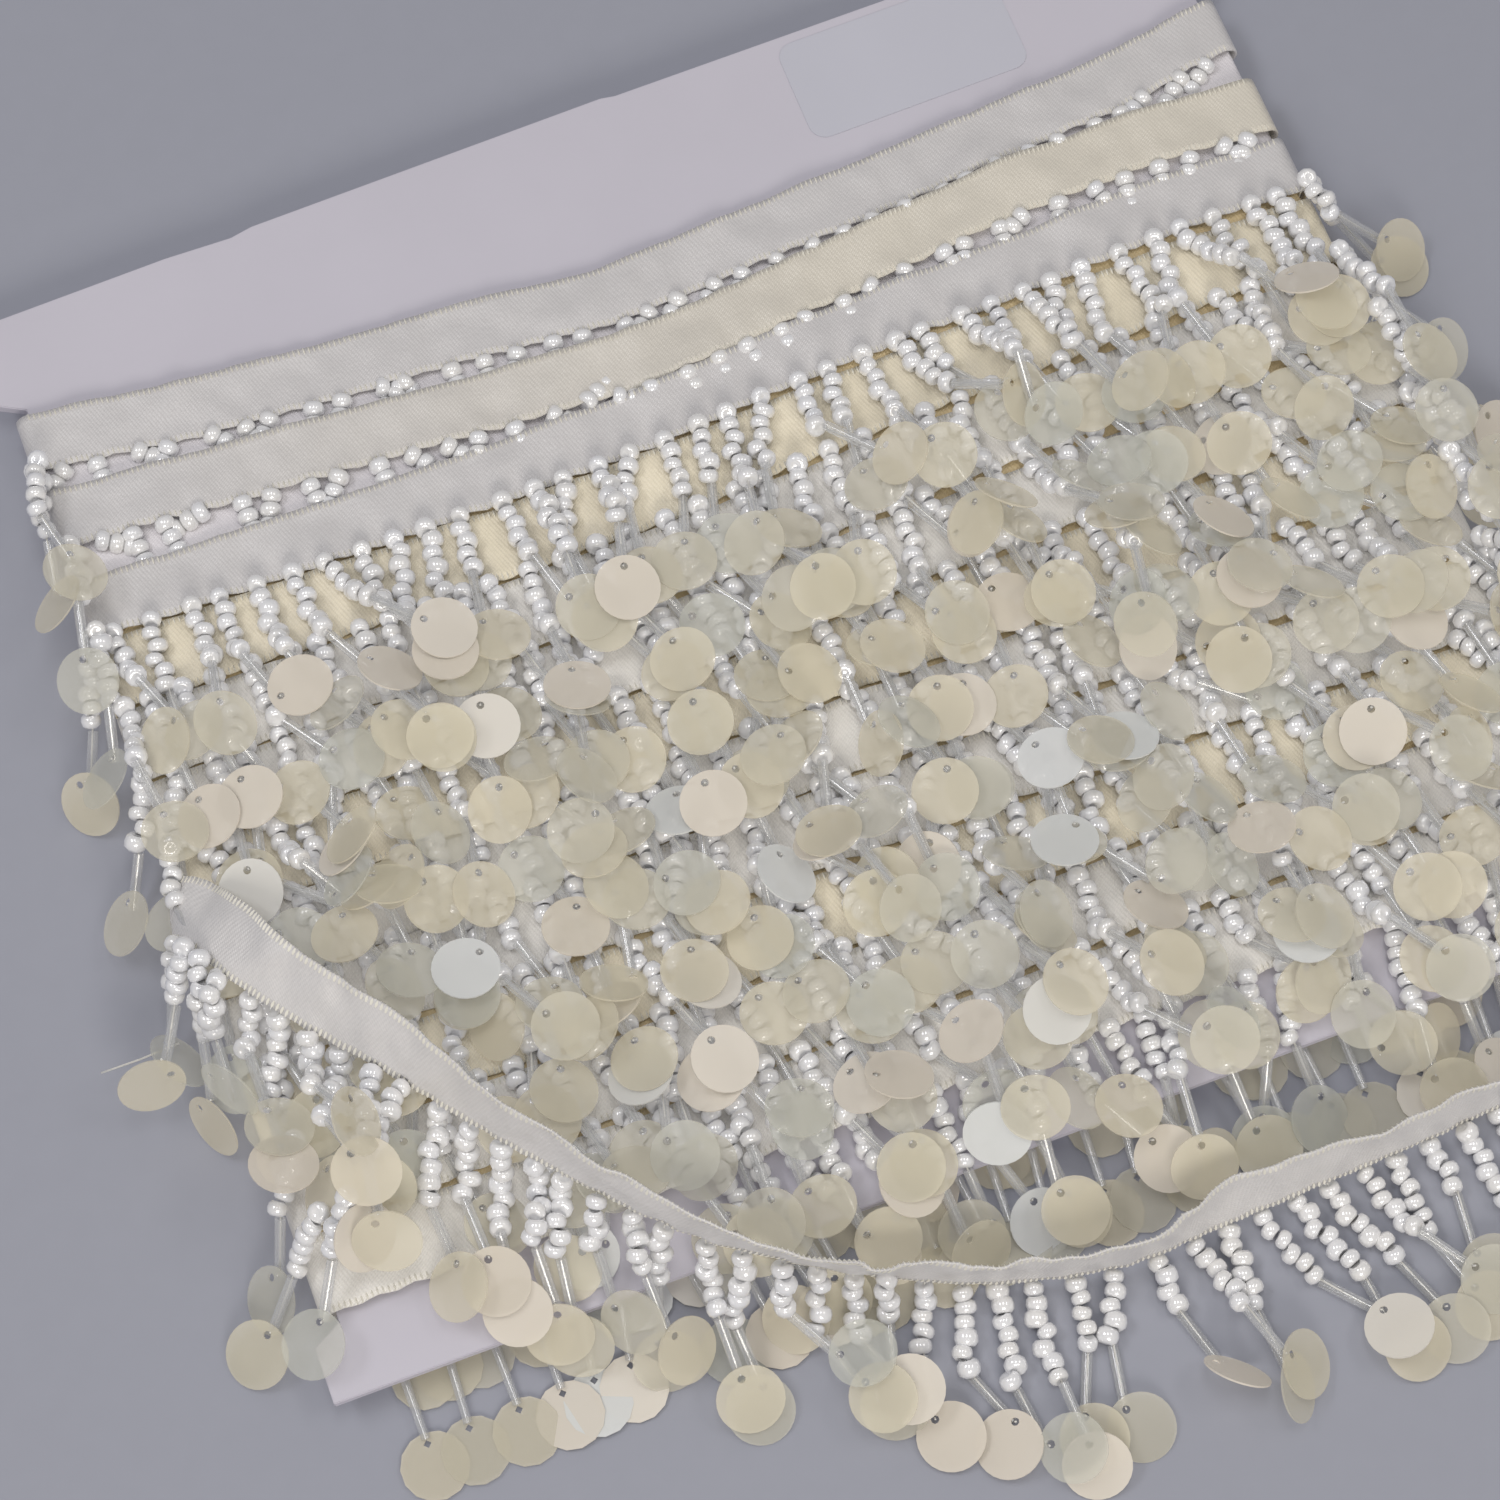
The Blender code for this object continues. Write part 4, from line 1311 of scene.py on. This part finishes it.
def ribbon_mesh(name, strips, closed, thickness, finish):
    """Strips of ribbon as one mesh, its UV map in millimetres along and across each strip."""
    vertices, faces, uvs = [], [], []
    for rows in strips:
        start, across, count = len(vertices), len(rows[0]), len(rows)
        for row in rows:
            vertices.extend(row)
        lengths = [0.0]
        for here, there in zip(rows, rows[1:] + rows[:1]):
            lengths.append(lengths[-1] + (Vector(there[0]) - Vector(here[0])).length)
        width = (Vector(rows[0][0]) - Vector(rows[0][-1])).length
        for i in range(count if closed else count - 1):
            near, far = lengths[i], lengths[i + 1]
            for j in range(across - 1):
                a = start + i * across + j
                b = start + (i + 1) % count * across + j
                faces.append((a, a + 1, b + 1, b))
                v, w = width * j / (across - 1), width * (j + 1) / (across - 1)
                uvs.extend(((near, v), (near, w), (far, w), (far, v)))
    mesh = new_mesh(name, placed([tuple(v) for v in vertices]), faces)
    mesh.uv_layers.new(name="UVMap").data.foreach_set("uv", np.array(uvs).ravel())
    for polygon in mesh.polygons:
        polygon.use_smooth = True
    mesh.materials.append(finish)
    made = new_object(name, mesh)
    wall = made.modifiers.new("Ribbon thickness", "SOLIDIFY")
    wall.thickness = thickness
    wall.offset = 0.0
    return made


def edge_mesh(name, lines):
    """Edge lines of ribbon for the selvedge, each point with its ways out and up."""
    edges, points = [], []
    for line in lines:
        edges.extend((len(points) + i, len(points) + i + 1) for i in range(len(line) - 1))
        points.extend(line)
    places, outs, ups = zip(*points)
    mesh = new_mesh(name, placed(places), (), edges)
    give(mesh, "out", "FLOAT_VECTOR", outs)
    give(mesh, "up", "FLOAT_VECTOR", ups)
    return mesh


# How far in from a ribbon's edge its selvedge runs, and how far up from its middle
SELVEDGE_IN = 0.42
SELVEDGE_UP = 0.1


def strip_edges(rows, lift, upward=False):
    """The two edge lines of a strip, a little in from its edges and proud of its face."""
    lines = ([], [])
    for i in range(len(rows)):
        row = [Vector(p) for p in rows[i]]
        along = Vector(rows[min(i + 1, len(rows) - 1)][0]) - Vector(rows[max(i - 1, 0)][0])
        for line, here, near in ((lines[0], row[0], row[1]), (lines[1], row[-1], row[-2])):
            out = (here - near).normalized()
            face = out.cross(along) if line is lines[1] else along.cross(out)
            face = face.normalized()
            if upward and face.z < 0:
                face = -face
            line.append((here - out * SELVEDGE_IN + face * lift, out, face))
    return lines


def make_ribbon(context, node, name, strips, finish, lines, drawn, held, rests_on):
    """A ribbon with its selvedge, in place of the imported part of that name, which it hides."""
    sizes = context.scene.trim_sizes
    wound = held == "stretched"
    band = ribbon_mesh(name, strips, wound, sizes.ribbon_thickness, finish)
    ridge = ridge_shape()
    values = {"Ridge": ridge, "Material": selvedge_yarn(), "Pitch": sizes.picot_pitch}
    edges = edge_mesh(f"{name}_selvedge", lines)
    edges = grown(f"{name}_selvedge", edges, selvedge_tree(), values)
    let_go(ridge)
    for made in (band, edges):
        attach(made, "root")
    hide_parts(node)


def make_beaded(context, name, strung, nodes, shapes):
    """One beaded piece: a row's or a run's strands, on the nodes that it stands for."""
    sizes, colours = context.scene.trim_sizes, context.scene.trim_colours
    finishes = (pearl_glass(colours.pearl), clear_glass(), frosted_film(colours.film), spun_thread())
    widths = (sizes.bead_width, sizes.bugle_width, sizes.paillette_width, THREAD_WIDTH * MM)
    values = {}
    for kind, shape, finish, width in zip(KINDS, shapes, finishes, widths):
        values.update({kind: shape, f"{kind} material": finish, f"{kind} width": width})
    made = grown(name, strung.mesh(name), strung_tree(), values)
    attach(made, "root")
    if nodes:
        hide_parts(*nodes)


def front_shapes():
    return (
        lathe("bead_shape", BEAD_PROFILE, 10),
        tube_shape("bugle_shape", 10, 0.42),
        disc_shape("paillette_shape", 28, 8, 0.062),
        lathe("thread_shape", THREAD_PROFILE, 4),
    )


def plain_shapes():
    return (
        lathe("plain_bead_shape", PLAIN_BEAD_PROFILE, 6),
        tube_shape("plain_bugle_shape", 5, 0.4),
        disc_shape("plain_paillette_shape", 14, 4, 0.06),
        lathe("plain_thread_shape", THREAD_PROFILE, 3),
    )


# The board's outline: its left side from the head down, its foot, its right side and its head
CARD_OUTLINE = (
    *((-CARD_HALF_WIDTH, 72.4), (-CARD_HALF_WIDTH, 61.2), (-WAIST_HALF_WIDTH, 59.3)),
    *((-WAIST_HALF_WIDTH, -63.1), (-CARD_HALF_WIDTH, -65.0), (-CARD_HALF_WIDTH, CARD_FOOT)),
    *((CARD_HALF_WIDTH, CARD_FOOT), (CARD_HALF_WIDTH, -65.0), (WAIST_HALF_WIDTH, -63.1)),
    *((WAIST_HALF_WIDTH, 64.5), (CARD_HALF_WIDTH, 66.4), (CARD_HALF_WIDTH, HEAD_ABOVE_MIDDLE)),
    *((4.0, 75.6), (2.2, 75.9), (-45.5, 74.0), (-48.4, 73.4), (-57.0, 73.5)),
)

# The label's corners from its lower left one, the radius they are rounded to, and how thick it is
LABEL_CORNERS = ((25.7, 60.2), (55.9, 61.1), (55.9, 75.7), (25.7, 74.9))
LABEL_ROUND = 2.2
LABEL_THICK = 0.09


def label_outline():
    outline = []
    for i, (x, y) in enumerate(LABEL_CORNERS):
        inward = (LABEL_ROUND if i in (0, 3) else -LABEL_ROUND, LABEL_ROUND if i < 2 else -LABEL_ROUND)
        for step in range(7):
            angle = math.pi + math.pi / 2 * (i + step / 6)
            across, up = LABEL_ROUND * math.cos(angle), LABEL_ROUND * math.sin(angle)
            outline.append((x + inward[0] + across, y + inward[1] + up))
    return outline


def make_board(name, outline, low, high, rounding, finish):
    """A flat board from its outline, walked round with its inside on the left."""
    bm = bmesh.new()
    base = bm.faces.new([bm.verts.new(placed((x, y, low))) for x, y in outline])
    for item in bmesh.ops.extrude_face_region(bm, geom=[base])["geom"]:
        if isinstance(item, bmesh.types.BMVert):
            item.co.z += (high - low) * MM
    bmesh.ops.recalc_face_normals(bm, faces=bm.faces)
    bmesh.ops.bevel(bm, geom=list(bm.edges), offset=rounding * MM, segments=2, affect="EDGES")
    made = finished_shape(name, bm)
    made.data.materials.append(finish)
    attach(made, "root")
    return made


class TRIM_OT_reel_card(bpy.types.Operator):
    """Makes the reel card and the blank label stuck on it"""

    bl_idname = "trim.reel_card"
    bl_label = "Reel card"

    def execute(self, context):
        finish = coated_board(context.scene.trim_colours.card)
        board = make_board("reel_card", CARD_OUTLINE, CARD_BACK, CARD_FRONT, 0.12, finish)
        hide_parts("card")
        top = CARD_FRONT + LABEL_THICK
        make_board("blank_label", label_outline(), CARD_FRONT, top, 0.03, label_paper())
        return {"FINISHED"}


class TRIM_OT_wound_ribbon(bpy.types.Operator):
    """Makes the turns of ribbon round the card, with their selvedges"""

    bl_idname = "trim.wound_ribbon"
    bl_label = "Wound ribbon"

    def execute(self, context):
        width, colours = context.scene.trim_sizes.ribbon_width, context.scene.trim_colours
        white, cream = colours.white_ribbon, colours.cream_ribbon
        for name, turns, label, colour, paler in (
            ("white_turns", (1, 3), "white_satin_ribbon", white, None),
            ("cream_turns", (2,), "cream_satin_ribbon", cream, white),
            # The lower turns take the paler copies of the satin: painted light where the strands shade
            # them
            ("lower_white_turns", LOWER_WHITE, "bright_white_satin_ribbon", colours.lower_white_painted_light, None),
            ("lower_cream_turns", LOWER_CREAM, "bright_cream_satin_ribbon", colours.lower_cream_painted_light, None),
        ):
            strips = [turn_points(turn, width / MM) for turn in turns]
            lines = []
            for rows in strips:
                lines.extend(strip_edges(rows[: FRONT_COLUMNS + 1], SELVEDGE_UP, upward=True))
            drawn = width + (TUCKED * MM if turns[0] > FIRST_FRINGED_TURN else 0.0)
            finish = satin(label, colour, paler)
            rest = ("stretched", ["reel_card"])
            make_ribbon(context, "wound_ribbon", name, strips, finish, lines, drawn, *rest)
        # Sheets under the gaps: the pale one is painted light, the golden one painted warm shade
        for name, code, first, last, depth in EARLIER_TURNS:
            finish = satin(f"{name}_satin_ribbon", linear(code))
            strips = [earlier_turns(first, last, depth)]
            earlier = ribbon_mesh(name, strips, True, EARLIER_THICKNESS, finish)
            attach(earlier, "root")
        return {"FINISHED"}


class TRIM_OT_row_fringe(bpy.types.Operator):
    """Makes the strands along the turns, on the card's front, sides and back, and the loose end"""

    bl_idname = "trim.row_fringe"
    bl_label = "Beaded strands"

    def execute(self, context):
        make = Stringing(context.scene.trim_sizes)
        pile = Pile()
        pile.lay_winding(make.ribbon)
        rows = {}
        for turn in range(TURNS, FIRST_FRINGED_TURN - 1, -1):
            rows[f"beaded_row_{turn:02d}"] = (lay_row(pile, make, turn), [f"fringe_row_{turn:02d}"])
        for turn in range(1, FIRST_FRINGED_TURN):
            rows[f"beaded_row_{turn:02d}"] = (head_stubs(make, turn), [])
        for side, word in ((-1.0, "left"), (1.0, "right")):
            rows[f"beaded_{word}_side"] = (side_strands(pile, make, side), [f"fringe_{word}_side"])
        for word, strung in zip(("left", "bend", "right"), lay_loose_fringe(pile, make)):
            rows[f"loose_beaded_{word}"] = (strung, [f"loose_fringe_{word}"])
        shapes = front_shapes()
        for name, (strung, nodes) in rows.items():
            make_beaded(context, name, strung, nodes, shapes)
        let_go(*shapes)
        shapes = plain_shapes()
        for first in (1, 5, 9):
            strung = back_rows(make, range(first, first + 4))
            make_beaded(context, f"back_rows_{first:02d}", strung, [], shapes)
        let_go(*shapes)
        return {"FINISHED"}


class TRIM_OT_loose_ribbon(bpy.types.Operator):
    """Makes the loose end of the ribbon, with its selvedges"""

    bl_idname = "trim.loose_ribbon"
    bl_label = "Loose ribbon"

    def execute(self, context):
        width = context.scene.trim_sizes.ribbon_width
        rows = loose_sheet(width / MM)
        lines = [*strip_edges(rows, SELVEDGE_UP), *strip_edges(rows, -SELVEDGE_UP)]
        # The loose end takes a paler copy of the white satin: painted light on its upright face
        finish = satin("loose_white_satin_ribbon", context.scene.trim_colours.loose_ribbon)
        rest = ("laid", ["beaded_row_08", "loose_beaded_right"])
        make_ribbon(context, "loose_ribbon", "loose_end", [rows], finish, lines, width, *rest)
        return {"FINISHED"}


# Camera: where it aims on the card, which way it looks, how far off it stands and its lens
AIM = (-11.5, -14.7, 5.5)
AZIMUTH = 20.7
ELEVATION = 69.0
DISTANCE = 450.0
FOCAL_LENGTH = 90.18
SENSOR = 36.0

# Each light's place and size in metres, its power and its colour
LIGHTS = (
    ("strip_left", (-0.51, 0.25, 0.88), (0.22, 0.42), 1.75, "#fbfbff"),
    ("strip_middle", (0.02, 0.06, 1.05), (0.2, 0.42), 1.2, "#ffffff"),
    ("strip_right", (0.55, -0.15, 0.88), (0.18, 0.42), 0.8, "#fffcf6"),
    ("fill_front", (-0.2, -0.85, 0.65), (0.5, 0.4), 4.0, "#fffaf2"),
)

# The light from all round
SKY = "#ecebee"
SKY_STRENGTH = 0.38

# Light paths are cut short among so many clear tubes and films, and after the last bounce the
# light that reaches a crevice is taken from how open it is, within a millimetre and a half
LIGHT_PATHS = {
    "transparent_max_bounces": 14,
    "max_bounces": 4,
    "diffuse_bounces": 3,
    "glossy_bounces": 2,
    "use_fast_gi": True,
    "fast_gi_method": "REPLACE",
    "ao_bounces_render": 2,
    "caustics_reflective": False,
    "caustics_refractive": False,
}
OPEN_WITHIN = 0.0015
OPEN_SHARE = 1.4

# Half the floor's width, in metres
FLOOR_HALF = 3.0


def aimed(name, data, place, right, back):
    """A light or camera at a place, its own x along right and its back as given."""
    made = new_object(name, data)
    made.location = place
    made.rotation_euler = Matrix((right, back.cross(right), back)).transposed().to_euler()
    return made


class TRIM_OT_stage(bpy.types.Operator):
    """Makes the floor, the lights and the camera"""

    bl_idname = "trim.stage"
    bl_label = "Stage"

    def execute(self, context):
        scene = context.scene
        corners = [(x * FLOOR_HALF, y * FLOOR_HALF, 0) for x, y in ((-1, -1), (1, -1), (1, 1), (-1, 1))]
        floor = new_object("floor", new_mesh("floor", corners, ((0, 1, 2, 3),)))
        floor.data.materials.append(pale_floor())
        aim = Vector(placed(AIM))
        turn, rise = math.radians(AZIMUTH), math.radians(ELEVATION)
        flat = math.cos(rise)
        look = Vector((math.sin(turn) * flat, math.cos(turn) * flat, -math.sin(rise)))
        right = Vector((math.cos(turn), -math.sin(turn), 0.0))
        lens = bpy.data.cameras.new("camera")
        lens.sensor_width = SENSOR
        lens.lens = FOCAL_LENGTH
        lens.clip_start = 0.01
        scene.camera = aimed("camera", lens, aim - look * DISTANCE * MM, right, -look)
        for name, place, size, energy, colour in LIGHTS:
            lamp = bpy.data.lights.new(name, "AREA")
            lamp.shape = "RECTANGLE"
            lamp.size, lamp.size_y = size
            lamp.energy = energy
            lamp.color = linear(colour)[:3]
            back = (Vector(place) - aim).normalized()
            across = (right - back * right.dot(back)).normalized()
            aimed(name, lamp, Vector(place), across, back)
        scene.world = bpy.data.worlds.new("studio")
        scene.world.use_nodes = True
        sky = scene.world.node_tree.nodes["Background"].inputs
        sky["Color"].default_value = linear(SKY)
        sky["Strength"].default_value = SKY_STRENGTH
        scene.world.light_settings.distance = OPEN_WITHIN
        scene.world.light_settings.ao_factor = OPEN_SHARE
        scene.view_settings.view_transform = "Standard"
        for name, value in LIGHT_PATHS.items():
            setattr(scene.cycles, name, value)
        return {"FINISHED"}


# In the order in which the panel lists them
OPERATORS = (
    TRIM_OT_reel_card,
    TRIM_OT_wound_ribbon,
    TRIM_OT_row_fringe,
    TRIM_OT_loose_ribbon,
    TRIM_OT_stage,
)


class TRIM_PT_sidebar(bpy.types.Panel):
    """The trim's pieces, sizes and colours"""

    bl_idname = "TRIM_PT_sidebar"
    bl_label = "Beaded fringe trim"
    bl_space_type = "VIEW_3D"
    bl_region_type = "UI"
    bl_category = "Trim"

    def draw(self, context):
        for group in (context.scene.trim_sizes, context.scene.trim_colours):
            for name in group.__annotations__:
                self.layout.prop(group, name)
        for operator in OPERATORS:
            self.layout.operator(operator.bl_idname)


def register():
    for made in (TrimSizes, TrimColours, *OPERATORS, TRIM_PT_sidebar):
        bpy.utils.register_class(made)
    bpy.types.Scene.trim_sizes = bpy.props.PointerProperty(type=TrimSizes)
    bpy.types.Scene.trim_colours = bpy.props.PointerProperty(type=TrimColours)


def unregister():
    del bpy.types.Scene.trim_colours
    del bpy.types.Scene.trim_sizes
    for made in (TRIM_PT_sidebar, *reversed(OPERATORS), TrimColours, TrimSizes):
        bpy.utils.unregister_class(made)


def main():
    register()
    bpy.ops.trim.reel_card()
    bpy.ops.trim.wound_ribbon()
    bpy.ops.trim.row_fringe()
    bpy.ops.trim.loose_ribbon()
    bpy.ops.trim.stage()


if __name__ == "__main__":
    main()
